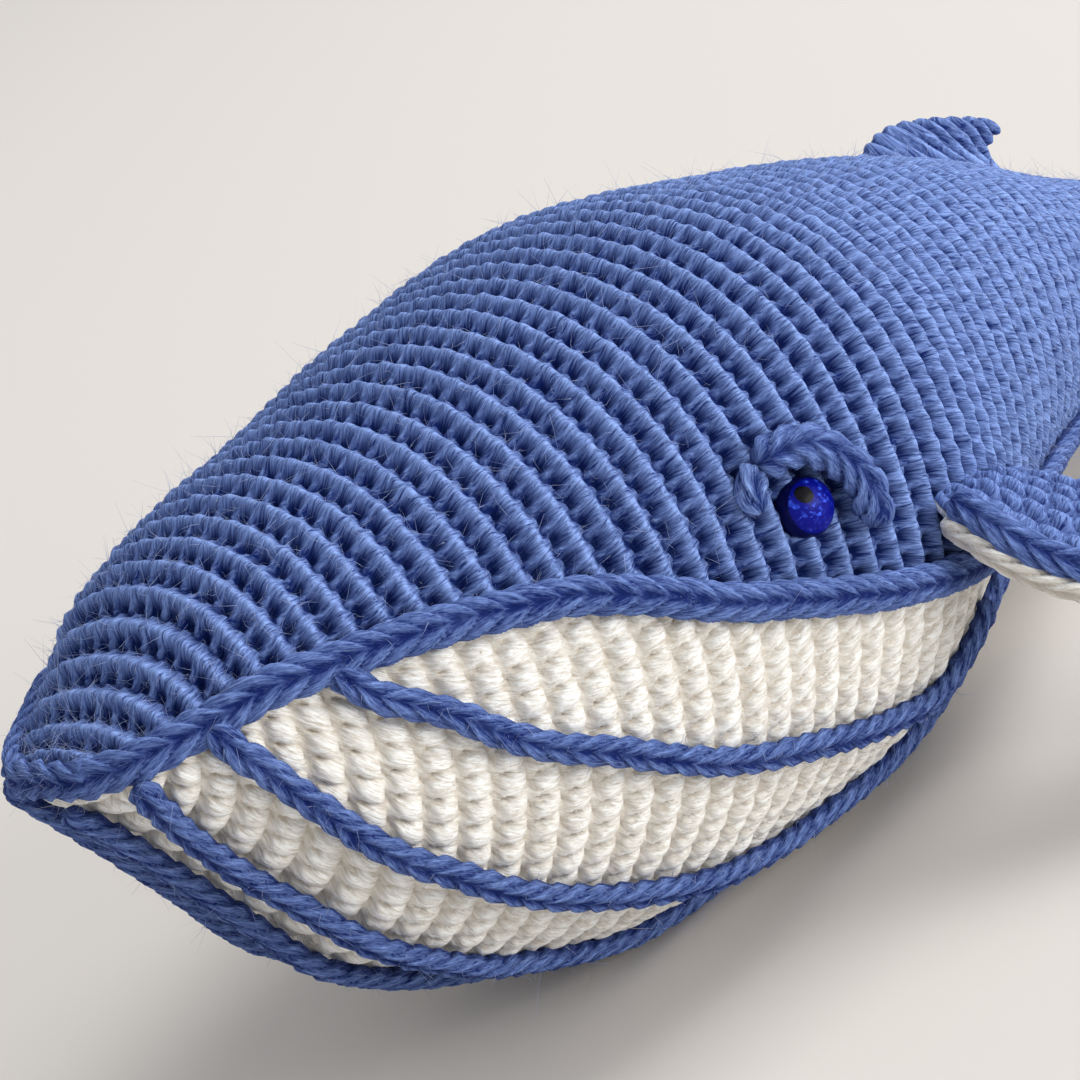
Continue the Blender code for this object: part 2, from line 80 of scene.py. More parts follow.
def camera_axes(yaw, pitch, roll):
    """Right, up and forward of a camera turned by yaw and pitch, then rolled about its view."""
    forward = Vector((math.cos(pitch) * math.cos(yaw), math.cos(pitch) * math.sin(yaw), math.sin(pitch)))
    right = Vector((math.sin(yaw), -math.cos(yaw), 0))
    up = right.cross(forward)
    turned_right = right * math.cos(roll) + up * math.sin(roll)
    return turned_right, up * math.cos(roll) - right * math.sin(roll), forward


def new_object(name, data):
    """Object made from some data and put in the scene."""
    thing = bpy.data.objects.new(name, data)
    bpy.context.scene.collection.objects.link(thing)
    return thing


right, up, forward = camera_axes(*CAMERA_TURN)
camera_data = bpy.data.cameras.new("view")
camera_data.sensor_width = SENSOR
camera_data.lens = SENSOR * FOCAL_SHARE
camera_data.clip_start = 0.01
camera = new_object("view", camera_data)
spin = Matrix((right, up, -forward)).transposed().to_4x4()
camera.matrix_world = REST @ Matrix.Translation(CAMERA_PLACE) @ spin
bpy.context.scene.camera = camera
print("camera at", [round(c, 3) for c in camera.matrix_world.translation])

# %% [markdown]
# The body is a stack of cross-sections. For each share of the length a table gives the top, the
# bottom, the seam and the half width, read along a smooth curve. A section is a rounded box: a
# circle whose sine and cosine are raised to a power a little under one.

# %% The body's shape
BODY_LENGTH = 305 * MM
BODY_HEIGHT = 103.7 * MM
BODY_HALF_WIDTH = 55.2 * MM
NOSE_DOME = 2 * MM
TAIL_DOME = 5 * MM
BODY = np.array([
    (0.000, 0.590, 0.537, 0.568, 0.137), (0.013, 0.615, 0.506, 0.575, 0.249),
    (0.040, 0.685, 0.420, 0.593, 0.350), (0.072, 0.767, 0.308, 0.613, 0.452),
    (0.118, 0.819, 0.155, 0.614, 0.579), (0.190, 0.871, 0.058, 0.593, 0.746),
    (0.282, 0.948, 0.000, 0.490, 0.909), (0.400, 1.000, 0.028, 0.405, 1.000),
    (0.525, 0.961, 0.155, 0.377, 0.792), (0.656, 0.872, 0.303, 0.391, 0.551),
    (0.770, 0.752, 0.366, 0.384, 0.362), (0.885, 0.646, 0.357, 0.337, 0.263),
    (1.000, 0.530, 0.328, 0.281, 0.199)])
SIDES = (("left", -1), ("right", 1))
UPPER_POWER = 2.2
LOWER_POWER = 1.98
BELLY_FLOOR = 3.28 * MM
GROUND_GAP = 0.3 * MM


def smooth(places, values, at):
    """Cubic curve through values at places, with a flat slope wherever the values turn back."""
    slopes = np.diff(values) / np.diff(places)
    before, after = slopes[:-1], slopes[1:]
    total = np.where(before * after > 0, before + after, 1)
    inner = np.where(before * after > 0, 2 * before * after / total, 0)
    bends = np.concatenate([slopes[:1], inner, slopes[-1:]])
    at = np.clip(at, places[0], places[-1])
    i = np.clip(np.searchsorted(places, at, side="right") - 1, 0, len(places) - 2)
    width = places[i + 1] - places[i]
    t = (at - places[i]) / width
    return ((1 + 2 * t) * (1 - t) ** 2 * values[i] + t * (1 - t) ** 2 * width * bends[i]
            + t * t * (3 - 2 * t) * values[i + 1] + t * t * (t - 1) * width * bends[i + 1])


def columns(table, at):
    """The other columns of a table, each read along a smooth curve at a value of the first."""
    return [smooth(table[:, 0], column, at) for column in table.T[1:]]


def section(share):
    """Middle height, half height, half width and seam height at a share of the length."""
    top, bottom, seam, width = columns(BODY, share)
    return ((top + bottom) / 2 * BODY_HEIGHT, (top - bottom) / 2 * BODY_HEIGHT,
            width * BODY_HALF_WIDTH, seam * BODY_HEIGHT)


def powered(value, power):
    """A value raised to a power with its sign kept."""
    return np.sign(value) * np.abs(value) ** power


def unit(vectors):
    """The same directions with length one."""
    return vectors / np.linalg.norm(vectors, axis=-1, keepdims=True)


def body_point(share, turn, scale=1.0, ahead=0.0):
    """Point of the skin. The turn starts at the left side and rises over the back."""
    middle, half_height, half_width, _ = section(share)
    power = 2 / np.where(np.sin(turn) > 0, UPPER_POWER, LOWER_POWER)
    along = share * BODY_LENGTH + ahead + 0 * turn
    across = -half_width * scale * powered(np.cos(turn), power)
    height = middle + half_height * scale * powered(np.sin(turn), power)
    return np.stack(np.broadcast_arrays(along, across, height), -1)


def seam_turn(share):
    """The turn at which the skin crosses the seam's height."""
    middle, half_height, _, seam = section(share)
    height = np.clip((seam - middle) / half_height, -1, 1)
    return np.arcsin(powered(height, np.where(height > 0, UPPER_POWER, LOWER_POWER) / 2))


def outward(share, turn):
    """Unit normal of the skin, the cross product of a step around and a step along."""
    step = 0.004
    along = body_point(np.minimum(share + step, 1), turn) - body_point(np.maximum(share - step, 0), turn)
    around = body_point(share, turn + step) - body_point(share, turn - step)
    return unit(np.cross(along, around))


def over_skin(share, turn, lift):
    """Point at a distance over the skin, and the skin's normal there."""
    normal = outward(share, turn)
    return body_point(share, turn) + normal * lift, normal


def mirrored(points, side):
    """Points of the left side as they are for side -1, and their mirror for side 1."""
    return points * np.array([1, -side, 1])


def tilted(directions):
    """Turn directions of the straight body into the room."""
    return directions @ REST_ARRAY[:3, :3].T


def rested(points):
    """Move points of the straight body into the room."""
    return tilted(points) + REST_ARRAY[:3, 3]


def pressed(points, floor, softness=0.6 * MM):
    """Lift points that go under a floor: a smooth maximum of the height and the floor."""
    lifted = points.copy()
    gap = lifted[..., 2] - floor
    lifted[..., 2] = floor + (gap + np.sqrt(gap * gap + softness * softness)) / 2
    return lifted


print("left side at the widest place:", np.round(rested(body_point(0.4, 0.0)), 3))

# %% [markdown]
# Every yarn surface here is a grid of points that closes round on itself, like a sleeve. One helper
# moves the grid outwards by the stitches' height, and another makes the mesh, closes both ends with
# a fan, and stores two things for the materials: a map in millimetres, along and across the strands,
# and a value of painted light, high on the crests of the stitches and low between them, where it
# paints shade.

# %% Grids to meshes
def grid_normals(grid, closed=True):
    """Unit normals of a grid, the cross product of its steps in both directions."""
    down = np.gradient(grid, axis=0)
    if closed:
        across = np.roll(grid, -1, axis=1) - np.roll(grid, 1, axis=1)
    else:
        across = np.gradient(grid, axis=1)
    normal = np.cross(across, down)
    length = np.linalg.norm(normal, axis=-1, keepdims=True)
    return normal / np.maximum(length, 1e-12)


def new_piece(name, points, corners, totals, material):
    """Object from its points, the points at its faces' corners, and the corners of each face."""
    mesh = bpy.data.meshes.new(name)
    mesh.vertices.add(len(points))
    mesh.vertices.foreach_set("co", points.astype(np.float32).reshape(-1))
    mesh.loops.add(len(corners))
    mesh.loops.foreach_set("vertex_index", corners.astype(np.int32))
    mesh.polygons.add(len(totals))
    mesh.polygons.foreach_set("loop_start", (np.cumsum(totals) - totals).astype(np.int32))
    mesh.polygons.foreach_set("loop_total", totals.astype(np.int32))
    mesh.update(calc_edges=True)
    mesh.materials.append(material)
    print(name, int((totals - 2).sum()), "triangles")
    return new_object(name, mesh)


def sleeve(name, grid, strands, crest, material):
    """Mesh of a grid that is closed round its rings, with a fan at each end.

    Where the corner products, summed over all faces, say that the volume is negative, the faces are
    turned over.
    """
    rows, sides = grid.shape[:2]
    i, j = np.meshgrid(np.arange(rows - 1), np.arange(sides), indexing="ij")
    following = (j + 1) % sides
    wide = sides + 1
    quads, quad_map = (
        np.stack([i * w + j, i * w + n, (i + 1) * w + n, (i + 1) * w + j], -1).reshape(-1, 4)
        for w, n in ((sides, following), (wide, j + 1)))
    ring = np.arange(sides)
    after = (ring + 1) % sides
    last = (rows - 1) * sides
    start, end = rows * sides, rows * sides + 1
    fans = np.concatenate([np.stack([after, ring, np.full(sides, start)], -1),
                           np.stack([last + ring, last + after, np.full(sides, end)], -1)])
    last_map = (rows - 1) * wide
    fan_map = np.concatenate([np.stack([ring + 1, ring, ring], -1),
                              np.stack([last_map + ring, last_map + ring + 1, last_map + ring], -1)])
    points = np.concatenate([grid.reshape(-1, 3), grid[0].mean(0)[None], grid[-1].mean(0)[None]])
    values = np.concatenate([crest.reshape(-1), [crest[0].mean(), crest[-1].mean()]])
    a, b, c, d = grid.reshape(-1, 3)[quads.T] - grid.mean((0, 1))
    if np.sum(a * (np.cross(b, c) + np.cross(c, d))) < 0:
        quads, quad_map, fans, fan_map = (x[:, ::-1] for x in (quads, quad_map, fans, fan_map))
    corners = np.concatenate([quads.reshape(-1), fans.reshape(-1)])
    totals = np.concatenate([np.full(len(quads), 4), np.full(len(fans), 3)])
    piece = new_piece(name, points, corners, totals, material)
    mesh = piece.data
    loop_map = np.concatenate([quad_map.reshape(-1), fan_map.reshape(-1)])
    layer = mesh.uv_layers.new(name="strands")
    layer.data.foreach_set("uv", strands.reshape(-1, 2)[loop_map].astype(np.float32).reshape(-1))
    attribute = mesh.attributes.new("crest", "FLOAT", "POINT")
    attribute.data.foreach_set("value", values.astype(np.float32))
    mesh.polygons.foreach_set("use_smooth", np.ones(len(totals), dtype=bool))
    return piece


def joined(name, pieces):
    """Join pieces into the first one and name the result."""
    with bpy.context.temp_override(active_object=pieces[0], selected_editable_objects=pieces):
        bpy.ops.object.join()
    pieces[0].name = name
    return pieces[0]


def dress(piece, body, slot, *nodes, fill=None):
    """Attach a piece to what it rides on and hide the CAD nodes it stands for. Its finish and how full a
    pad it is are not used.
    """
    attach(piece, body)
    if nodes:
        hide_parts(*nodes)
    return piece


def chance(a, b):
    """Repeatable number from 0 to 1 for a pair of whole numbers: the fraction of a large sine."""
    value = np.sin(a * 12.9898 + b * 78.233) * 43758.5453
    return value - np.floor(value)


def bump_at(value, centre, width):
    """Bell curve of a value about a centre."""
    return np.exp(-((value - centre) / width) ** 2)


print("helpers ready")

# %% [markdown]
# Yarn is spun from fine fibres, so one shader group draws them for every yarn in the toy. It takes
# the map in millimetres and stretches two noises along the strands. The stretched noises give a
# height for the bump and a mask for the colour. The painted-light value puts the lit colour on the
# crests of the stitches and a painted shade, the darker colour, between them.

# %% The shared yarn group
def set_inputs(tree, node, inputs):
    """Give each named input a value, or link it to another node's socket."""
    for name, value in inputs.items():
        if isinstance(value, bpy.types.NodeSocket):
            tree.links.new(value, node.inputs[name])
        else:
            node.inputs[name].default_value = value


def shader_node(tree, kind, inputs=None, **settings):
    """New node with its settings and inputs."""
    node = tree.nodes.new("ShaderNode" + kind)
    for name, value in settings.items():
        setattr(node, name, value)
    set_inputs(tree, node, inputs or {})
    return node


def maths(tree, kind, a, b):
    """Result of one sum with two sockets or numbers."""
    return shader_node(tree, "Math", {0: a, 1: b}, operation=kind).outputs[0]


def ranged(tree, value, start, end, first=0.0, last=1.0):
    """Carry a value from the range start to end over to the range first to last."""
    return shader_node(tree, "MapRange", {"Value": value, "From Min": start, "From Max": end,
                                          "To Min": first, "To Max": last}).outputs["Result"]


def mixed(tree, share, a, b, **settings):
    """Colour between two colours."""
    return shader_node(tree, "Mix", {"Factor": share, "A": a, "B": b},
                       data_type="RGBA", **settings).outputs["Result"]


def texture(tree, kind, scale):
    """Outputs of a texture laid out in the object's own space."""
    place = shader_node(tree, "TexCoord").outputs["Object"]
    return shader_node(tree, kind, {"Scale": scale, "Vector": place}).outputs


def new_material(name, inputs):
    """New material, its node tree and its Principled shader with some inputs set."""
    material = bpy.data.materials.new(name)
    material.use_nodes = True
    tree = material.node_tree
    shader = tree.nodes["Principled BSDF"]
    set_inputs(tree, shader, inputs)
    return material, tree, shader


def yarn_group():
    """Group: strands map, painted-light value and the shaded and lit colours in; a mixed colour with
    painted light and shade, and a height out.
    """
    group = bpy.data.node_groups.new("yarn_strands", "ShaderNodeTree")
    for name, way, kind in (("Strands", "INPUT", "Vector"), ("Crest", "INPUT", "Float"),
                            ("Deep", "INPUT", "Color"), ("Pale", "INPUT", "Color"),
                            ("Colour", "OUTPUT", "Color"), ("Height", "OUTPUT", "Float")):
        group.interface.new_socket(name, in_out=way, socket_type="NodeSocket" + kind)
    given = group.nodes.new("NodeGroupInput").outputs
    crest = given["Crest"]

    def noise(along, across, detail, distortion=0.0):
        """Noise with one scale along the strands and another across them."""
        place = shader_node(group, "Mapping", {"Scale": (along, across, 1), "Vector": given["Strands"]})
        return shader_node(group, "TexNoise", {
            "Scale": 1, "Detail": detail, "Roughness": 0.6, "Distortion": distortion,
            "Vector": place.outputs["Vector"]}).outputs["Fac"]

    add, less, times = (partial(maths, group, kind) for kind in ("ADD", "SUBTRACT", "MULTIPLY"))
    strands = noise(0.42, 2.3, 2.0, 0.6)
    fibres = noise(0.7, 5.2, 2.0, 0.8)
    patches = noise(0.12, 0.12, 1.0)
    height = add(times(strands, 0.6), times(fibres, 0.4))
    near_middle = maths(group, "ABSOLUTE", less(noise(0.33, 1.5, 1.0, 1.2), 0.5), 0.0)
    # Painted highlight: thin bright threads, strongest on the crests.
    thread_glint = maths(group, "MAXIMUM", less(1.0, times(near_middle, 12.0)), 0.0)
    # Painted light and shade: the lit colour and the strands' contrast grow on the crests, and the shaded
    # colour stays between the stitches.
    contrast = times(less(height, 0.5), add(times(crest, 3.6), 1.4))
    lit = add(times(crest, 0.82), contrast)
    lit = add(lit, times(less(patches, 0.5), 0.4))
    lit = add(lit, times(thread_glint, add(times(crest, 0.42), 0.08)))
    # Values past 1 carry the colour beyond the lit colour, for the painted highlights.
    bounded = ranged(group, lit, 0.0, 1.5, 0.0, 1.5)
    colour = mixed(group, bounded, given["Deep"], given["Pale"], clamp_factor=False)
    set_inputs(group, group.nodes.new("NodeGroupOutput"), {"Colour": colour, "Height": height})
    return group


YARN = yarn_group()
print("group inputs:", len([item for item in YARN.interface.items_tree if item.in_out == "INPUT"]))

# %% [markdown]
# Each yarn is a Principled material round that group. Cotton has no gloss, but its loose fibres
# catch light at grazing angles. That soft edge is the shader's own sheen.

# %% Yarn materials
def yarn(name, shaded_colour, lit_colour, bump_depth=0.26 * MM, sheen=0.12):
    """Material of one yarn, from its shaded colour, painted shade between the stitches, and its lit
    colour, painted light on the crests.
    """
    material, tree, shader = new_material(name, {
        "Roughness": 0.92, "Specular IOR Level": 0.2, "Sheen Weight": sheen, "Sheen Roughness": 0.5,
        "Sheen Tint": (*lit_colour, 1)})
    strands = shader_node(tree, "UVMap", uv_map="strands")
    crest = shader_node(tree, "Attribute", attribute_name="crest")
    fibre = shader_node(tree, "Group", {
        "Strands": strands.outputs["UV"], "Crest": crest.outputs["Fac"],
        "Deep": (*shaded_colour, 1), "Pale": (*lit_colour, 1)}, node_tree=YARN)
    bump = shader_node(tree, "Bump", {
        "Strength": 1.0, "Distance": bump_depth, "Height": fibre.outputs["Height"]})
    set_inputs(tree, shader, {"Base Color": fibre.outputs["Colour"], "Normal": bump.outputs["Normal"]})
    return material


# Each yarn's first colour is painted shade for between the stitches, and its second is painted light for
# the crests.
BLUE_YARN = yarn("blue_rib_yarn", (0.002, 0.015, 0.125), (0.172, 0.262, 0.565))
CHAIN_YARN = yarn("blue_chain_yarn", (0.003, 0.014, 0.120), (0.130, 0.204, 0.48), 0.30 * MM)
CREAM_YARN = yarn("cream_column_yarn", (0.60, 0.54, 0.46), (0.91, 0.90, 0.86), 0.24 * MM, 0.10)
print("materials:", [m.name for m in (BLUE_YARN, CHAIN_YARN, CREAM_YARN)])

# %% [markdown]
# The back is worked in rows that run over the body from seam to seam. Every row stands up as a round
# rib, and between two ribs the hooks of the stitches leave one pit each. The ridges carry painted
# light, and the valleys and pits carry painted shade. The height of a point depends on its place in
# the row, from 0 to 1 along the body, and on its place in the stitch, from 0 to 1 around it. Stations
# are spaced by the distance along the skin, so the rows keep their pitch where the nose closes.

# %% Rows and stitches
ROW_PITCH = 4.88 * MM
STITCH_PITCH = 3.5 * MM
STATIONS_PER_ROW = 11


def stations(end_share, tail_cap):
    """Share, scale and step ahead of each ring, evenly spaced by the length along the skin."""
    nose = np.linspace(math.pi / 2 - 0.08, 0, 12)[:-1]
    fine = np.linspace(0, end_share, 2400)
    tail = np.linspace(0, math.pi / 2 - 0.08, 24)[1:] if tail_cap else np.zeros(0)
    share = np.concatenate([0 * nose, fine, 0 * tail + end_share])
    scale = np.concatenate([np.cos(nose), 0 * fine + 1, np.cos(tail)])
    ahead = np.concatenate([-NOSE_DOME * np.sin(nose), 0 * fine, TAIL_DOME * np.sin(tail)])
    top = body_point(share, math.pi / 2, scale, ahead)
    side = body_point(share, 0.0, scale, ahead)
    step = sum(np.linalg.norm(np.diff(line, axis=0), axis=1) for line in (top, side)) / 2
    length = np.concatenate([[0], np.cumsum(step)])
    count = int(length[-1] / ROW_PITCH * STATIONS_PER_ROW)
    even = np.linspace(0, length[-1], count)
    return even, [np.interp(even, length, column) for column in (share, scale, ahead)]


def sheet_of_skin(end_share, sides, upper, tail_cap):
    """Open grid of the skin above or below the seam, evenly spaced round each ring."""
    length, (share, scale, ahead) = stations(end_share, tail_cap)
    seam = seam_turn(share)
    part = np.linspace(0, 1, 4 * sides)[None]
    sweep = (math.pi - 2 * seam if upper else -(math.pi + 2 * seam))[:, None]
    turn = seam[:, None] + sweep * part
    rough = body_point(share[:, None], turn, scale[:, None], ahead[:, None])
    step = np.linalg.norm(np.diff(rough, axis=1), axis=-1)
    arc = np.concatenate([np.zeros((len(length), 1)), np.cumsum(step, axis=1)], axis=1)
    even = np.linspace(0, 1, sides)
    turns = np.stack([np.interp(even, a / a[-1], t) for a, t in zip(arc, turn)])
    grid = body_point(share[:, None], turns, scale[:, None], ahead[:, None])
    around = (even[None] - 0.5) * arc[:, -1:]
    return grid, length[:, None] + 0 * around, around, share


def rib_height(length, around):
    """Height, painted-light value and twist of the blue ribs: a round ridge per row, then a valley with
    pits.

    The ridge is half a cosine wave of the distance d from its middle line. The pit is a bell in the
    valley half a row away, once per stitch. The post is the bar of yarn between two pits.
    """
    rows = length / ROW_PITCH
    row = np.floor(rows)
    place = rows - row
    stitches = around / STITCH_PITCH + 0.5 * np.mod(row, 2) + 0.35 * chance(row, 3.0)
    stitch = np.floor(stitches)
    turn = stitches - stitch
    wave = np.cos(math.tau * turn)
    d = np.abs(place - 0.55)
    d = np.minimum(d, 1 - d)
    ridge = (0.5 + 0.5 * np.cos(math.pi * np.clip(d / (0.435 + 0.045 * wave), 0, 1))) ** 0.72
    valley = bump_at(d, 0.5, 0.19)
    pit = bump_at(place, 0.07, 0.15) * np.exp(-((turn - 0.5) / 0.23) ** 2)
    post = valley * bump_at(np.abs(turn - 0.5), 0.5, 0.24)
    inside = np.sin(math.pi * np.clip(place, 0, 1))
    lean = np.cos(math.tau * (turn + 0.6 * place)) * ridge
    uneven = (chance(row, stitch) - 0.5) * inside * np.sin(math.pi * turn)
    height = -2.0 + 2.4 * ridge + 0.18 * lean + 1.15 * post - 1.0 * pit + 0.5 * uneven
    # Painted light on the ridges and posts, painted shade in the pits.
    crest = np.clip(ridge ** 1.1 + 0.52 * post - 0.8 * pit + 0.14 * lean, 0, 1)
    twist = 0.8 * MM * np.sin(math.tau * turn) * (place - 0.5)
    return height * MM, crest, twist


print("rows from nose to tail:", round(stations(1.0, True)[0][-1] / ROW_PITCH))

# %% [markdown]
# The back and the belly are each a full, stuffed form: the stitched skin outside, and a plain chord
# through the body that closes it. The belly's grid is pressed up where it lies on the chains under
# it, and the tail's end where it lies on the ground. The ribs fade towards the tail, where the
# photograph shows them only softly.

# %% Stuffed halves of the body
CHORD_POINTS = 6
TAIL_FADE_START = 120 * MM
TAIL_FADE_LENGTH = 110 * MM
TAIL_FADE = 0.70
TAIL_SHARE = 0.9
TAIL_FLOOR = 0.35 * MM
BACK_SIDES = 400


def eased(value):
    """Smooth step from 0 to 1."""
    value = np.clip(value, 0, 1)
    return value * value * (3 - 2 * value)


def slow_waves(length, around):
    """Gentle unevenness of a hand-stuffed skin: three long sine waves."""
    return (np.sin(length * 95 + around * 37 + 1.3) + np.sin(around * 120 - length * 41)
            + np.sin(length * 51 + around * 83 + 4.0)) * 0.16 * MM


def stuffed_half(name, end_share, sides, upper, heights, slant, material):
    """Closed half of the body: a stitched sheet of skin and a chord between its two edges."""
    grid, length, around, share = sheet_of_skin(end_share, sides, upper, upper)
    normals = grid_normals(grid, closed=False)
    flip = np.sign(np.sum(normals[:, sides // 2] * (grid[:, sides // 2] - grid[:, [0, -1]].mean(1)), -1))
    normals *= np.median(flip)
    height, crest, twist = heights(length, around)
    calm = eased((length - TAIL_FADE_START) / TAIL_FADE_LENGTH)
    fade = 1 - TAIL_FADE * calm
    # Towards the tail the painted shade between the ribs fades with them, and the value rises towards the
    # lit colour.
    crest = crest + (0.95 - crest) * TAIL_FADE * calm * eased(0.22 + crest / 0.35)
    placed = rested(grid + normals * (height * fade + slow_waves(length, around))[..., None])
    floor = np.where(share < TAIL_SHARE, BELLY_FLOOR, TAIL_FLOOR)[:, None]
    placed = pressed(placed, floor)
    blend = np.linspace(0, 1, CHORD_POINTS + 2)[1:-1][None, :, None]
    chord = placed[:, -1:] * (1 - blend) + placed[:, :1] * blend
    ring = np.concatenate([placed, chord], axis=1)
    # The chord inside takes the full painted shade.
    crest = np.concatenate([crest, 0 * chord[..., 0]], axis=1)
    strands = np.stack([length, around + slant * length + twist], -1) / MM
    fill = np.repeat(strands[:, -1:], CHORD_POINTS + 1, axis=1)
    return sleeve(name, ring, np.concatenate([strands, fill], axis=1), crest, material)


back = stuffed_half("back_fabric", 1.0, BACK_SIDES, True, rib_height, 0.25, BLUE_YARN)
dress(back, "body", "blue_yarn", "back_panel", "body_stuffing", fill=0.9)

# %% [markdown]
# Under the throat the same rows are worked in cream, looser, so each row reads as a column of puffy
# stitches. A column rises softly on its nose side and ends in a sharp step on its tail side. Each
# stitch is a chevron with a small hole where its two legs meet, and the hole and the creases get
# painted shade.

# %% The cream columns
COLUMN_STITCH = 3.9 * MM


def column_height(length, around):
    """Height, painted-light value and twist of the columns: puffy lumps on the tail side, thin legs on the
    nose side.

    A lump is the root of one less u squared across the column, times a sine along it. Both follow a
    slanted phase, so the lumps lean like leaves and give the column a scalloped edge.
    """
    rows = length / ROW_PITCH
    row = np.floor(rows)
    place = rows - row
    stitches = around / COLUMN_STITCH + 0.5 * np.mod(row, 2) + 0.25 * chance(row, 8.0)
    phase = stitches + 1.0 * (place - 0.66)
    puff = np.abs(np.sin(math.pi * phase))
    u = (place - 0.60) / (0.34 + 0.10 * puff)
    lump = np.sqrt(np.clip(1 - u * u, 0, 1)) * (0.56 + 0.44 * puff ** 0.5)
    leg_phase = stitches - 0.9 * (place - 0.35)
    leg = np.abs(np.sin(math.pi * leg_phase)) ** 0.7 * bump_at(place, 0.15, 0.20)
    turn = phase - np.floor(phase)
    away = np.minimum(turn, 1 - turn)
    hole = bump_at(place, 0.36, 0.10) * bump_at(away, 0, 0.12)
    crease = bump_at(away, 0, 0.06) * bump_at(place, 0.52, 0.2)
    uneven = (chance(row, np.floor(phase) + 40) - 0.5) * puff * np.clip(1 - u * u, 0, 1)
    height = -1.9 + 2.0 * lump + 0.9 * leg - 1.1 * hole - 0.35 * crease + 0.5 * uneven
    # Painted light on the lumps and legs, painted shade in the holes and creases.
    crest = np.clip(0.10 + 0.95 * lump + 0.42 * leg - 1.1 * hole - 0.35 * crease, 0, 1)
    twist = 0.7 * MM * np.sin(math.tau * phase) * (0.64 - place)
    twist = twist - 1.3 * MM * bump_at(place, 0.1, 0.2) * place
    return height * MM, crest, twist


BELLY_END_SHARE = 0.84
BELLY_SIDES = 300
belly = stuffed_half("belly_fabric", BELLY_END_SHARE, BELLY_SIDES, False, column_height, 0.45, CREAM_YARN)
dress(belly, "body", "cream_yarn", "belly_panel", fill=0.9)

# %% [markdown]
# A crocheted chain looks like a plait: two rows of slanted loops that meet in a groove. Here it is a
# flat oval carried along a route. The oval's radius swells and shrinks along slanted lines, opposite
# ways on its two sides, which gives the row of Vs. Its strands map follows the same slant.

# %% Chains laid on the skin
LOOP_PITCH = 4.0 * MM
CHAIN_SIDES = 32
CHAIN_STEPS_PER_MM = 2.6


def evenly(points, normals, step):
    """The same line with its points at equal distances, and its normals carried along."""
    length = np.concatenate([[0], np.cumsum(np.linalg.norm(np.diff(points, axis=0), axis=1))])
    even = np.linspace(0, length[-1], max(3, int(length[-1] / step)))
    placed = np.stack([np.interp(even, length, points[:, k]) for k in range(3)], -1)
    turned = np.stack([np.interp(even, length, normals[:, k]) for k in range(3)], -1)
    return even, placed, unit(turned)


def chain(name, points, normals, half_width, half_height, material, start=0.0):
    """Plaited chain: an oval sleeve whose radius follows slanted lines, opposite on each side.

    Within a loop the radius steps up and then falls away, so that each loop seems to lie over the next.
    """
    length, line, outer = evenly(points, normals, MM / CHAIN_STEPS_PER_MM)
    tangent = unit(np.gradient(line, axis=0))
    side = unit(np.cross(tangent, outer))
    outer = np.cross(side, tangent)
    turn = np.linspace(0, math.tau, CHAIN_SIDES, endpoint=False)[None]
    lean = np.abs(np.sin(turn / 2)) * 2
    phase = (length[:, None] + start) / LOOP_PITCH - 0.9 * lean
    part = phase - np.floor(phase)
    loops = np.clip(part / 0.24, 0, 1) ** 0.6 * (1 - 0.62 * part ** 1.3)
    wrapped = np.minimum(turn, math.tau - turn)
    groove = bump_at(wrapped, 0, 0.33)
    odd = (chance(np.floor(phase), 5.0 + np.sign(turn - math.pi)) - 0.5) * 0.10
    swell = 0.66 + (0.50 + odd) * loops - 0.26 * groove
    ends = np.minimum(length, length[-1] - length)[:, None] / half_height
    taper = np.sqrt(1 - (1 - np.clip(ends, 0, 1)) ** 2 * 0.85)
    wobble = np.sin(length * 410 + start * 900)[:, None] * 0.05
    reach = swell * taper
    grid = (line[:, None] + outer[:, None] * (np.cos(turn + wobble) * half_height * reach)[..., None]
            + side[:, None] * (np.sin(turn + wobble) * half_width * reach)[..., None])
    grid = pressed(grid, 0.05 * MM, 0.2 * MM)
    wide = np.concatenate([wrapped, wrapped[:, :1]], axis=1) * half_width
    strands = np.stack([length[:, None] + 0 * wide, wide - 0.42 * length[:, None]], -1) / MM
    # Painted light on the loops, and painted shade in the groove and on the underside that faces the skin.
    crest = np.clip(1.25 * loops - 0.2 - 0.7 * groove, 0, 1) * (0.35 + 0.65 * (np.cos(turn) > -0.3))
    return sleeve(name, grid, strands, crest, material)


def laid(table, side, lift):
    """Points and normals of a route over the skin, from shares of the length and angles."""
    count = len(table)
    numbered = np.column_stack([np.arange(count), table])
    share, angle = columns(numbered, np.linspace(0, count - 1, 60 * count))
    points, normal = over_skin(share, np.radians(angle), lift)
    return pressed(rested(mirrored(points, side)), lift - 0.7 * MM), tilted(mirrored(normal, side))


print("chain loops every", LOOP_PITCH / MM, "mm")

# %% The throat's pleats
PLEATS = {
    1: [(0.091, 17), (0.097, 13), (0.104, 9.5), (0.115, 7), (0.131, 3), (0.151, -3), (0.171, -8),
        (0.196, -12), (0.241, -20), (0.301, -27), (0.360, -34), (0.409, -38), (0.435, -36), (0.462, -31)],
    2: [(0.040, 13), (0.0435, 6), (0.047, 0), (0.053, -6), (0.067, -18), (0.085, -26), (0.103, -30),
        (0.123, -33), (0.146, -38), (0.171, -42), (0.204, -46), (0.246, -49), (0.300, -53),
        (0.350, -56), (0.400, -56), (0.443, -52), (0.485, -46), (0.518, -39)],
    3: [(0.011, -8), (0.014, -20), (0.018, -31), (0.027, -45), (0.036, -53), (0.051, -60), (0.071, -63),
        (0.089, -63), (0.106, -63), (0.131, -65), (0.165, -70), (0.205, -74), (0.260, -76),
        (0.320, -76), (0.380, -74), (0.440, -67), (0.492, -60), (0.541, -53), (0.577, -47)]}
KEEL = [(0.003, -90), (0.120, -90), (0.330, -90), (0.500, -90), (0.660, -90)]
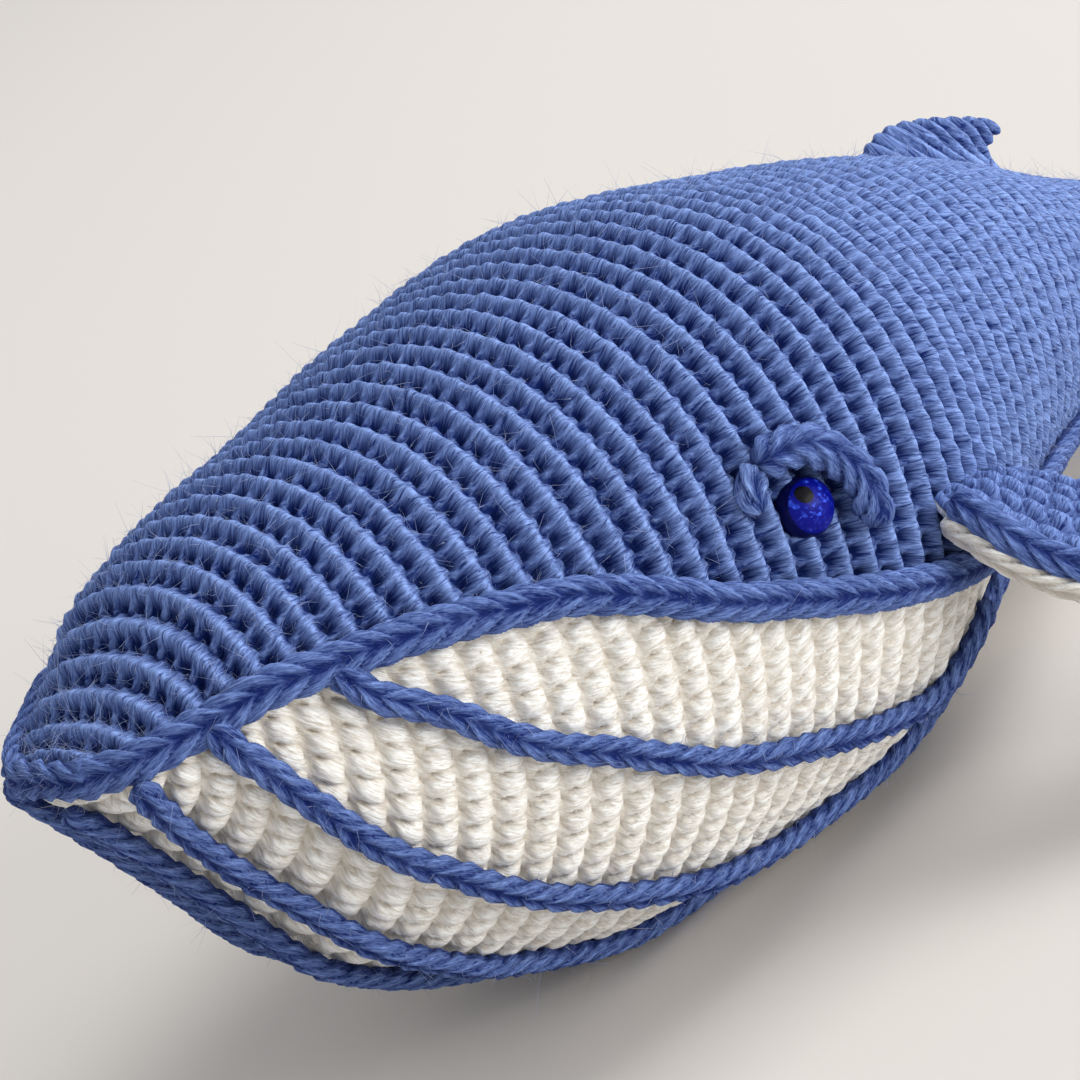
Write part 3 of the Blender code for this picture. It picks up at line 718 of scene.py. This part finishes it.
PLEAT_LIFT = 1.75 * MM
PLEAT_HALF_WIDTH = 2.15 * MM
PLEAT_HALF_HEIGHT = 1.75 * MM
PLEAT_SHIFT = 1.7 * MM


def pleat(name, table, side, start=0.0):
    """Chain of one pleat, which stands for the node of the same name."""
    piece = chain("pleat_chain_" + name, *laid(table, side, PLEAT_LIFT),
                  PLEAT_HALF_WIDTH, PLEAT_HALF_HEIGHT, CHAIN_YARN, start)
    dress(piece, "body", "dark_blue_yarn", "pleat_" + name)


pleat("keel", KEEL, -1)
for side_name, side in SIDES:
    for number, table in PLEATS.items():
        pleat("%s_%d" % (side_name, number), table, side, number * PLEAT_SHIFT)

# %% [markdown]
# The lip is one chain that starts near the tail, follows the seam along the left side, goes round
# the nose, and comes back on the right. It covers the line where the blue and the cream meet.

# %% The lip chain
SEAM_END_SHARE = 0.81
LIP_LIFT = 1.7 * MM
LIP_HALF_WIDTH = 2.7 * MM
LIP_HALF_HEIGHT = 1.9 * MM


def lip_route():
    """Seam points on the left, a half circle round the nose, and the mirrored points back."""
    share = np.linspace(SEAM_END_SHARE, 0, 400)
    turn = seam_turn(share)
    lift = LIP_LIFT * (0.15 + 0.85 * eased(share / 0.08))
    left, normal = over_skin(share, turn, lift[:, None])
    bend = np.linspace(0, math.pi, 40)[1:-1]
    seam = section(0.0)[3]
    ahead = (NOSE_DOME - 0.5 * LIP_LIFT) * np.sin(bend) - left[-1, 0] * (1 - np.sin(bend))
    nose = np.stack([-ahead, left[-1, 1] * np.cos(bend), seam + 0 * bend], -1)
    nose_normal = np.stack([-np.sin(bend), -np.cos(bend), 0 * bend], -1)
    points = np.concatenate([left, nose, mirrored(left, 1)[::-1]])
    normals = np.concatenate([normal, nose_normal, mirrored(normal, 1)[::-1]])
    return rested(points), tilted(normals)


lip = chain("lip_plait", *lip_route(), LIP_HALF_WIDTH, LIP_HALF_HEIGHT, CHAIN_YARN)
dress(lip, "body", "blue_yarn", "lip_chain")

# %% [markdown]
# The eye is a plastic dome in three rings: a black pupil, a band of blue glitter and a dark rim. The
# glitter is a fine cell pattern that colours each flake by its own value. A thin coat over the
# colour gives the small highlight of moulded plastic.

# %% The eye's plastic
PUPIL_EDGE = 0.28
RIM_EDGE = 0.86


def eye_material():
    """Rings by the distance from the pupil's middle, stored in the map's first value."""
    material, tree, shader = new_material("eye_plastic", {
        "Roughness": 0.35, "Specular IOR Level": 0.1, "Coat Weight": 0.04, "Coat Roughness": 0.12})
    place = shader_node(tree, "UVMap", uv_map="strands")
    away = shader_node(tree, "SeparateXYZ", {"Vector": place.outputs["UV"]}).outputs["X"]
    rings = shader_node(tree, "ValToRGB", {"Fac": away})
    rings.color_ramp.interpolation = "CONSTANT"
    pupil, iris = rings.color_ramp.elements
    pupil.color = (0.002, 0.002, 0.004, 1)
    iris.position = PUPIL_EDGE
    iris.color = (0.002, 0.004, 0.22, 1)
    rings.color_ramp.elements.new(RIM_EDGE).color = (0.002, 0.003, 0.06, 1)

    flakes = texture(tree, "TexVoronoi", 2300)["Color"]
    band = maths(tree, "MULTIPLY", ranged(tree, away, 0.36, 0.46), ranged(tree, away, RIM_EDGE, 0.80))
    amount = maths(tree, "MULTIPLY", band, ranged(tree, flakes, 0.62, 1.0))
    glitter = mixed(tree, amount, rings.outputs["Color"], (0.05, 0.13, 0.97, 1))
    set_inputs(tree, shader, {"Base Color": glitter})
    return material


EYE_PLASTIC = eye_material()
EYE_RADIUS = 4.5 * MM
EYE_RIM_HEIGHT = 0.5 * MM
EYE_DOME_HEIGHT = 3.4 * MM
EYE_SUNK = 1.2 * MM
EYE_FOOT = 1.2 * MM
EYE_SIDES = 64
PUPIL_FORWARD = 0.22
PUPIL_RISE = 0.50
EYE_SHARE, EYE_TURN = np.array(0.3245), np.radians(9.2)


def eye(name, side):
    """Dome turned about the skin's normal: a quarter wave from the rim to the top.

    The rings of colour are measured from a point up and forward of the middle, where the pupil is.
    """
    centre, normal = over_skin(EYE_SHARE, EYE_TURN, -EYE_SUNK)
    centre, axis = rested(mirrored(centre, side)), tilted(mirrored(normal, side))
    along = unit(np.cross(axis, [0, 0, 1]))
    rise = np.cross(along, axis)
    bend = np.linspace(0, math.pi / 2 - 0.02, 24)
    radius = np.concatenate([[0.5, 0.98, 1.0], np.cos(bend)]) * EYE_RADIUS
    dome = EYE_RIM_HEIGHT + EYE_DOME_HEIGHT * np.sin(bend)
    height = np.concatenate([[-EYE_FOOT, -EYE_FOOT, 0.0], dome])
    angle = np.linspace(0, math.tau, EYE_SIDES, endpoint=False)
    ring = along * np.cos(angle)[:, None] + rise * np.sin(angle)[:, None]
    grid = centre + radius[:, None, None] * ring + (axis * height[:, None])[:, None]
    across = radius[:, None] / EYE_RADIUS
    away = np.hypot(across * np.cos(angle) + side * PUPIL_FORWARD, across * np.sin(angle) - PUPIL_RISE)
    measure = np.where(across > RIM_EDGE, across, np.minimum(away, RIM_EDGE - 0.02))
    measure = np.concatenate([measure, measure[:, :1]], axis=1)
    return sleeve(name, grid, np.stack([measure, 0 * measure], -1), 0 * grid[..., 0], EYE_PLASTIC)


for side_name, side in SIDES:
    dress(eye("eye_dome_" + side_name, side), "body", "blue_plastic", "eye_" + side_name)

# %% [markdown]
# Over each eye a short, thick chain is sewn in an arch, and a second short one makes the fold in
# front of it. The washers are inside the body, out of sight, but they are plastic all the same.

# %% Eyelids and washers
EYELID = [(0.3035, 19.2), (0.316, 19.1), (0.328, 18.2), (0.339, 15.8), (0.3465, 12.8), (0.3515, 9.8),
          (0.354, 6.8), (0.354, 4.0), (0.351, 2.0)]
LID_FOLD = [(0.296, 12.6), (0.2955, 15.0), (0.298, 17.2), (0.305, 18.8)]
LID_HALF_WIDTH = 3.1 * MM
LID_HALF_HEIGHT = 2.4 * MM
FOLD_HALF_WIDTH = 2.4 * MM
FOLD_HALF_HEIGHT = 1.7 * MM
for side_name, side in SIDES:
    lid = chain("lid_" + side_name, *laid(EYELID, side, LID_HALF_HEIGHT),
                LID_HALF_WIDTH, LID_HALF_HEIGHT, CHAIN_YARN)
    fold = chain("lid_fold_" + side_name, *laid(LID_FOLD, side, 1.5 * MM),
                 FOLD_HALF_WIDTH, FOLD_HALF_HEIGHT, BLUE_YARN)
    lid = joined("eyelid_chain_" + side_name, [lid, fold])
    dress(lid, "body", "blue_yarn", "eyelid_" + side_name)

washer_plastic, tree, washer_shader = new_material("washer_plastic", {"Base Color": (0.85, 0.85, 0.82, 1)})
grain = texture(tree, "TexNoise", 900)["Fac"]
set_inputs(tree, washer_shader, {"Roughness": ranged(tree, grain, 0.0, 1.0, 0.35, 0.50)})
for node in ("eye_washer_left", "eye_washer_right"):
    for part in frame["nodes"][node].material_slots:
        part.material = washer_plastic
print("eyes and lids done")

# %% [markdown]
# A flipper is two crocheted leaves sewn together: blue above, cream below. Each leaf is a sleeve
# whose rings cross the flipper from its front edge to its back edge, crowned outside and flat where
# it meets the other leaf. The rows run along the flipper, side by side from the front edge, and a
# plaited edge is worked along the front.

# %% The flippers' leaves
FLIPPER_SPAN = 68 * MM
FLIPPER_CHORD = 25 * MM
FLIPPER_CROWN = 3.4 * MM
FLIPPER_EDGE = 2.4 * MM
FLIPPER_DROOP = math.radians(30)
FLIPPER_ROOT_OFFSET = 4.6 * MM
FLIPPER_HANG = (3.4 * MM, 5.5 * MM)
FLIPPER_ROOT = [(0.395, 1), (0.478, -5)]
FLIPPER_OUTLINE = np.array([
    (-0.045, 0.10, 0.90), (0.0, 0.0, 1.0), (0.12, -0.03, 1.10), (0.3, 0.06, 1.22), (0.5, 0.26, 1.32),
    (0.7, 0.56, 1.42), (0.86, 0.86, 1.50), (0.96, 1.10, 1.52), (1.0, 1.22, 1.46)])
LEAF_ROWS = 130
LEAF_SIDES = 84
INNER_SIDES = 10
STITCH_RELIEF = 0.72
ROOT_SHARE = 0.06
TIP_START = 0.93
TIP_SHARE = 0.07
HANG_SHARE = 0.3
EDGE_HALF_HEIGHT = 1.5 * MM
FLAT = (0.0, 0.0)


def flipper_frame(side):
    """Root corner and the directions along the root, out along the flipper, and up from it."""
    front, rear = (mirrored(over_skin(np.array(share), np.radians(turn), FLIPPER_ROOT_OFFSET)[0], side)
                   for share, turn in FLIPPER_ROOT)
    along = unit(rear - front)
    level = np.array([0.0, side, 0.0])
    level = unit(level - along * level.dot(along))
    rise = np.cross(along, level)
    rise = rise if rise[2] > 0 else -rise
    out = level * math.cos(FLIPPER_DROOP) - rise * math.sin(FLIPPER_DROOP)
    top = rise * math.cos(FLIPPER_DROOP) + level * math.sin(FLIPPER_DROOP)
    return (front + rear) / 2 - along * FLIPPER_CHORD / 2, along, out, top


def hung(share, place, chord, top, hang):
    """How a sewn leaf hangs off its flat plane: down at the root, then turned, front edge down."""
    sag, turned = hang
    twist = turned * eased(share / HANG_SHARE) * (place / chord - 0.5)
    return top * (twist - sag * (1 - share.clip(0)))[..., None]


def leaf(name, shape, sizes, heights, sign, material, both=False, hang=FLAT):
    """Sleeve across a leaf. Its thickness is a parabola over the chord, rounded at both edges."""
    (corner, along, out, top), outline, span, chord = shape
    edge, crown, taper, gap = sizes
    share = np.linspace(outline[0, 0], 1, LEAF_ROWS)
    front, rear = (edge_line * chord for edge_line in columns(outline, share))
    sweep = np.linspace(0, math.pi, LEAF_SIDES)
    across = -np.cos(sweep)[None]
    place = (front + rear)[:, None] / 2 + (rear - front)[:, None] / 2 * across
    near_tip = np.sqrt(np.clip(1 - ((share - TIP_START) / TIP_SHARE).clip(0, 1) ** 2, 0.02, 1))
    near_root = 0.55 + 0.45 * eased((share - outline[0, 0]) / ROOT_SHARE)
    thick = (edge + (crown - edge) * (1 - across ** 2)) * np.sqrt(np.clip(1 - across ** 8, 0, 1))
    thick = thick * ((1 - taper * share.clip(0)) * near_tip * near_root)[:, None]

    def plane(place):
        """Middle plane of the leaf, which hangs as it is sewn."""
        flat = corner + out * (share * span)[:, None, None] + along * place[..., None]
        return flat + hung(share[:, None], place, chord, top, hang)

    base = plane(place)
    outer = base + top * sign * (gap + thick)[..., None]
    row_place = place - front[:, None] + 0.6 * ROW_PITCH
    run = (share * span)[:, None] + 0 * place
    lumps, crest, twist = heights(row_place, run)
    normal = grid_normals(outer, closed=False)
    normal *= np.sign(np.sum(normal[LEAF_ROWS // 2, LEAF_SIDES // 2] * top * sign))
    soft = np.sqrt(np.clip(1 - across ** 12, 0, 1)) * near_tip[:, None]
    outer = outer + normal * (lumps * STITCH_RELIEF * soft)[..., None]
    strands = np.stack([row_place, run + 0.25 * row_place + twist], -1) / MM
    if both:
        under = base - top * sign * (gap + thick)[..., None]
        under = (under - normal * (lumps * STITCH_RELIEF * soft)[..., None])[:, -2:0:-1]
        under_strands, under_crest_light = strands[:, -2:0:-1], crest[:, -2:0:-1]
    else:
        blend = np.linspace(1, 0, INNER_SIDES + 2)[1:-1][None]
        under = plane(front[:, None] + (rear - front)[:, None] * blend) + top * sign * gap
        under_strands = np.repeat(strands[:, :1], INNER_SIDES, axis=1)
        # The flat inner face, sewn against the other leaf, gets a fixed painted shade.
        under_crest_light = np.full(under.shape[:2], 0.3)
    grid = np.concatenate([outer, under], axis=1)
    wrap = np.concatenate([strands, under_strands, strands[:, :1]], axis=1)
    crest = np.concatenate([crest, under_crest_light], axis=1)
    return sleeve(name, pressed(rested(grid), GROUND_GAP), wrap, crest, material)


def leaf_edge(name, shape, lift, half_width, material, first=0.0, hang=FLAT):
    """Plaited edge along the front of a leaf, its Vs facing forwards."""
    (corner, along, out, top), outline, span, chord = shape
    share = np.linspace(first, 0.985, 200)
    front = columns(outline, share)[0] * chord
    points = corner + out * (share * span)[:, None] + along * (front + 0.4 * MM)[:, None] + top * lift
    points = points + hung(share, front, chord, top, hang)
    facing = unit(np.repeat((top * np.sign(lift) * 0.8 - along)[None], len(points), axis=0))
    return chain(name, rested(points), tilted(facing), half_width, EDGE_HALF_HEIGHT, material)


FLIPPER_SIZES = (FLIPPER_EDGE, FLIPPER_CROWN, 0.25, 0.12 * MM)
for side_name, side in SIDES:
    shape = (flipper_frame(side), FLIPPER_OUTLINE, FLIPPER_SPAN, FLIPPER_CHORD)
    # The top leaf is the same blue yarn as the back; it takes the darker chain yarn as painted shade.
    for layer, sign, material, lift, width, slot in (
            ("top", 1, CHAIN_YARN, 1.75 * MM, 2.5 * MM, "blue_yarn"),
            ("underside", -1, CREAM_YARN, -2.1 * MM, 2.2 * MM, "cream_yarn")):
        name = "flipper_%s_%s" % (side_name, layer)
        piece = leaf(name + "_leaf", shape, FLIPPER_SIZES, column_height, sign, material,
                     hang=FLIPPER_HANG)
        edge = leaf_edge(name + "_edge", shape, lift, width, material, hang=FLIPPER_HANG)
        dress(joined(name + "_crochet", [piece, edge]), "flipper_" + side_name, slot, name)
print("flippers done")

# %% [markdown]
# The flukes are two stuffed lobes, level with the ground, that meet at the end of the tail. They use
# the same leaf with stitches on both faces.

# %% The flukes
FLUKE_SPAN = 62 * MM
FLUKE_CHORD = 27 * MM
FLUKE_SETBACK = 1.5 * MM
FLUKE_SIZES = (1.6 * MM, 3.8 * MM, 0.35, 0.0)
FLUKE_OUTLINE = np.array([
    (0.004, 0.0, 0.74), (0.1, 0.0, 0.86), (0.18, 0.03, 0.98), (0.35, 0.22, 1.12), (0.55, 0.50, 1.22),
    (0.75, 0.80, 1.34), (0.9, 1.05, 1.42), (1.0, 1.26, 1.45)])
fluke_reach = TAIL_DOME + 0.3 * MM + FLUKE_SETBACK
hinge = rested(body_point(np.array(1.0), np.array(0.0), 0.0, fluke_reach) * np.array([1, 0, 1]))
LEVEL = REST_ARRAY[:3, :3]


def fluke_frame(side):
    """Front corner of a lobe and its directions, turned so that the lobe lies level in the room."""
    corner = (hinge - [FLUKE_SETBACK, 0, 0] - REST_ARRAY[:3, 3]) @ LEVEL
    return corner, LEVEL[0], np.array([0.0, side, 0.0]), LEVEL[2]


for side_name, side in SIDES:
    shape = (fluke_frame(side), FLUKE_OUTLINE, FLUKE_SPAN, FLUKE_CHORD)
    lobe = leaf("fluke_leaf_" + side_name, shape, FLUKE_SIZES, rib_height, 1, BLUE_YARN, both=True)
    edge = leaf_edge("fluke_edge_" + side_name, shape, 0.01 * MM, 1.8 * MM, CHAIN_YARN, first=0.12)
    lobe = joined("fluke_lobe_" + side_name, [lobe, edge])
    dress(lobe, "flukes", "blue_yarn", "fluke_" + side_name, fill=0.6)
print("flukes done")

# %% [markdown]
# The dorsal fin is a small hooked cone near the tail. Its rings are ellipses that lean back, and its
# ribs go on from the ribs of the back. Its foot goes a little way into the back's ribs.

# %% The dorsal fin
FIN_START = 0.633 * BODY_LENGTH
FIN_LENGTH = 33 * MM
FIN_HEIGHT = 10.5 * MM
FIN_HALF_THICKNESS = 3.4 * MM
FIN_SKIRT = 4 * MM
FIN_SIDES = 120
FIN_OUTLINE = np.array([(-0.3, -0.10, 1.02), (0.0, 0.0, 1.0), (0.3, 0.06, 0.99), (0.55, 0.2, 1.03),
                        (0.75, 0.45, 1.12), (0.9, 0.72, 1.17), (1.0, 0.95, 1.14)])


def dorsal_fin():
    """Rings by height: an ellipse between the front and the back edge, above the ridge line."""
    share = np.linspace(-0.3, 1, 60)
    front, rear = (edge * FIN_LENGTH for edge in columns(FIN_OUTLINE, share))
    shrink = np.sqrt(np.clip(1 - ((share - 0.84) / 0.16).clip(0, 1) ** 2, 0.03, 1))
    half = (rear - front) / 2 * (0.35 + 0.65 * shrink)
    middle = FIN_START + (front + rear) / 2
    skirt = 1 - eased((share + 0.3) / 0.7)
    thick = FIN_HALF_THICKNESS * np.sqrt(1 - 0.8 * share.clip(0) ** 2) * shrink * (1 + 1.1 * skirt)
    half = half + FIN_SKIRT * skirt
    turn = np.linspace(0, math.tau, FIN_SIDES, endpoint=False)[None]
    x = middle[:, None] + half[:, None] * np.cos(turn)
    y = thick[:, None] * np.sin(turn)
    ridge = body_point(np.clip(x / BODY_LENGTH, 0, 1), math.pi / 2)[..., 2]
    z = ridge + (share * FIN_HEIGHT)[:, None]
    grid = np.stack([x, y, z], -1)
    normal = grid_normals(grid)
    normal *= np.sign(np.median(np.sum(normal * (grid - grid.mean((0, 1))), -1)))
    around = (share * FIN_HEIGHT)[:, None] + np.abs(y)
    leaning = 0.95 * (x + 1.15 * (share * FIN_HEIGHT)[:, None])
    height, crest, twist = rib_height(leaning, around)
    grid = grid + normal * (height * 0.42 * shrink[:, None])[..., None]
    strands = np.stack([x, around + 0.25 * x + twist], -1) / MM
    strands = np.concatenate([strands, strands[:, :1]], axis=1)
    return sleeve("dorsal_fin_crochet", rested(grid), strands, crest, BLUE_YARN)


dress(dorsal_fin(), "body", "blue_yarn", "dorsal_fin", fill=0.7)

# %% [markdown]
# Handled cotton sheds loose fibres that stand off the stitches and catch the light, most of all on
# the chains. Each is a thin, bent, three-sided hair that grows from a chosen vertex of a piece and
# ends in a point. Thousands of them are made as one array. None grow where a flipper or the flukes
# would sweep through them.

# %% Loose fibres
HAIR_RADIUS = 0.042 * MM
HAIR_RINGS = 3
HAIR_SHORTEST = 0.8 * MM
HAIR_BEND = 0.7
FLIPPER_X, FLIPPER_REACH, FLIPPER_Y = -0.04, 0.04, 0.045
TAIL_END_X = 0.116


def hairs(name, sources, count, lengths, material, seed):
    """Bent hairs: start + direction * reach + bend * reach squared, as rings of three points.

    The ends are closed by one point each. The faces are listed for one hair and repeated for all.
    """
    random = np.random.default_rng(seed)
    starts, normals = [], []
    for source, part in sources:
        total = len(source.data.vertices)
        places, facing = np.empty((2, total * 3), dtype=np.float32)
        source.data.vertices.foreach_get("co", places)
        source.data.vertex_normals.foreach_get("vector", facing)
        chosen = random.integers(0, total, int(count * part))
        starts.append(places.reshape(-1, 3)[chosen])
        normals.append(facing.reshape(-1, 3)[chosen])
    start, normal = np.concatenate(starts), np.concatenate(normals)
    beside_flipper = (np.abs(start[:, 0] - FLIPPER_X) < FLIPPER_REACH) & (np.abs(start[:, 1]) > FLIPPER_Y)
    keep = (start[:, 2] > 1.5 * MM) & ~beside_flipper & (start[:, 0] <= TAIL_END_X)
    start, normal = start[keep], normal[keep]
    total = len(start)
    sideways = random.normal(size=(total, 3))
    sideways = unit(sideways - normal * np.sum(sideways * normal, axis=1, keepdims=True))
    bend = random.normal(size=(total, 3)) * HAIR_BEND
    reach = (lengths[0] + (lengths[1] - lengths[0]) * random.random(total) ** 2)[:, None, None]
    t = np.linspace(0, 1, HAIR_RINGS)[None, :, None]
    lift = (0.15 + 0.55 * random.random(total) ** 2)[:, None, None]
    line = (start - normal * 0.1 * MM)[:, None] + reach * (
        t * (normal[:, None] * lift + sideways[:, None]) * 0.8 + t * t * bend[:, None])
    line = pressed(line, GROUND_GAP, 0.2 * MM)
    across = np.cross(sideways, normal)
    turn = np.arange(3) * math.tau / 3
    ring = across[:, None] * np.cos(turn)[:, None] + normal[:, None] * np.sin(turn)[:, None]
    rings = line[:, :, None] + ring[:, None] * HAIR_RADIUS * (1 - 0.75 * t[..., None])
    points = np.concatenate([rings.reshape(total, -1, 3), line[:, :1], line[:, -1:]], axis=1)
    size = points.shape[1]
    edges = [(k * 3 + j, k * 3 + (j + 1) % 3) for k in range(HAIR_RINGS) for j in range(3)]
    faces = [face for a, b in edges[:-3] for face in ((a, b, b + 3), (a, b + 3, a + 3))]
    for (a, b), (c, d) in zip(edges[:3], edges[-3:]):
        faces += [(b, a, size - 2), (c, d, size - 1)]
    one = np.array(faces)
    a, b, c = points[0][one[:6]].transpose(1, 0, 2)
    outwards = np.sum(np.cross(b - a, c - a) * ((a + b + c) / 3 - line[0, 0]))
    one = one if outwards > 0 else one[:, ::-1]
    corners = (one[None] + (np.arange(total) * size)[:, None, None]).reshape(-1)
    return new_piece(name, points.reshape(-1, 3), corners, np.full(len(corners) // 3, 3), material)


def hair_material(name, colour):
    """Fibre colour that varies slowly from place to place, with some sheen."""
    material, tree, shader = new_material(name, {"Roughness": 0.8, "Sheen Weight": 0.3})
    noise = texture(tree, "TexNoise", 300)["Fac"]
    darker = (*[c * 0.6 for c in colour], 1)
    set_inputs(tree, shader, {"Base Color": mixed(tree, noise, darker, (*colour, 1))})
    return material


BLUE_HAIR = hair_material("blue_fibre", (0.36, 0.46, 0.78))
CREAM_HAIR = hair_material("cream_fibre", (0.86, 0.83, 0.76))
CHAIN_NAMES = ("pleat_chain", "lip_plait", "eyelid_chain")
chains = [(o, 1 / 10) for o in bpy.data.objects if o.name.startswith(CHAIN_NAMES)]
for name, sources, count, longest, material, slot in (
        ("loose_fibres_back", [(back, 1.0)], 10400, 3.2 * MM, BLUE_HAIR, "blue_yarn"),
        ("loose_fibres_back_long", [(back, 1.0)], 6400, 3.8 * MM, BLUE_HAIR, "blue_yarn"),
        ("loose_fibres_chains", chains, 4400, 3.2 * MM, BLUE_HAIR, "blue_yarn"),
        ("loose_fibres_belly", [(belly, 1.0)], 1600, 2.8 * MM, CREAM_HAIR, "cream_yarn")):
    dress(hairs(name, sources, count, (HAIR_SHORTEST, longest), material, len(name)), "body", slot)

# %% [markdown]
# The toy lies on a plain pale floor. A large soft lamp stands behind it on the right, as the window
# did, and another fills from the toy's left side. The surroundings give the rest. To the camera, and
# in reflections, they are a plain near-white, and that brightness never lights the toy.

# %% Floor and light
FLOOR_HALF = 3.0
floor_corners = np.array([(-1, -1, 0), (1, -1, 0), (1, 1, 0), (-1, 1, 0)]) * FLOOR_HALF
floor_paint = new_material("pale_floor", {"Base Color": (0.73, 0.69, 0.65, 1), "Roughness": 0.95})[0]
new_piece("floor", floor_corners, np.arange(4), np.array([4]), floor_paint)


def lamp(name, place, target, size, power, colour):
    """Square soft lamp that faces a point."""
    data = bpy.data.lights.new(name, "AREA")
    data.shape = "SQUARE"
    data.size = size
    data.energy = power
    data.color = colour
    thing = new_object(name, data)
    thing.location = place
    thing.rotation_euler = (Vector(target) - Vector(place)).to_track_quat("-Z", "Y").to_euler()


lamp("window", (1.9, -0.7, 2.4), (0, 0, 0.05), 1.8, 62, (1.0, 0.99, 0.97))
lamp("fill", (0.5, -2.8, 0.8), (0.0, 0, 0.04), 1.8, 60, (1.0, 0.98, 0.95))

GIVEN_LIGHT = 0.56
SEEN_LIGHT = 0.92
world = bpy.data.worlds.new("surroundings")
bpy.context.scene.world = world
world.use_nodes = True
tree = world.node_tree
path = shader_node(tree, "LightPath").outputs
seen = path["Is Camera Ray"]
for ray in ("Is Glossy Ray", "Is Transmission Ray"):
    seen = maths(tree, "MAXIMUM", seen, path[ray])
set_inputs(tree, tree.nodes["Background"], {
    "Color": (0.90, 0.92, 0.95, 1), "Strength": ranged(tree, seen, 0.0, 1.0, GIVEN_LIGHT, SEEN_LIGHT)})
bpy.context.scene.view_settings.view_transform = "Standard"
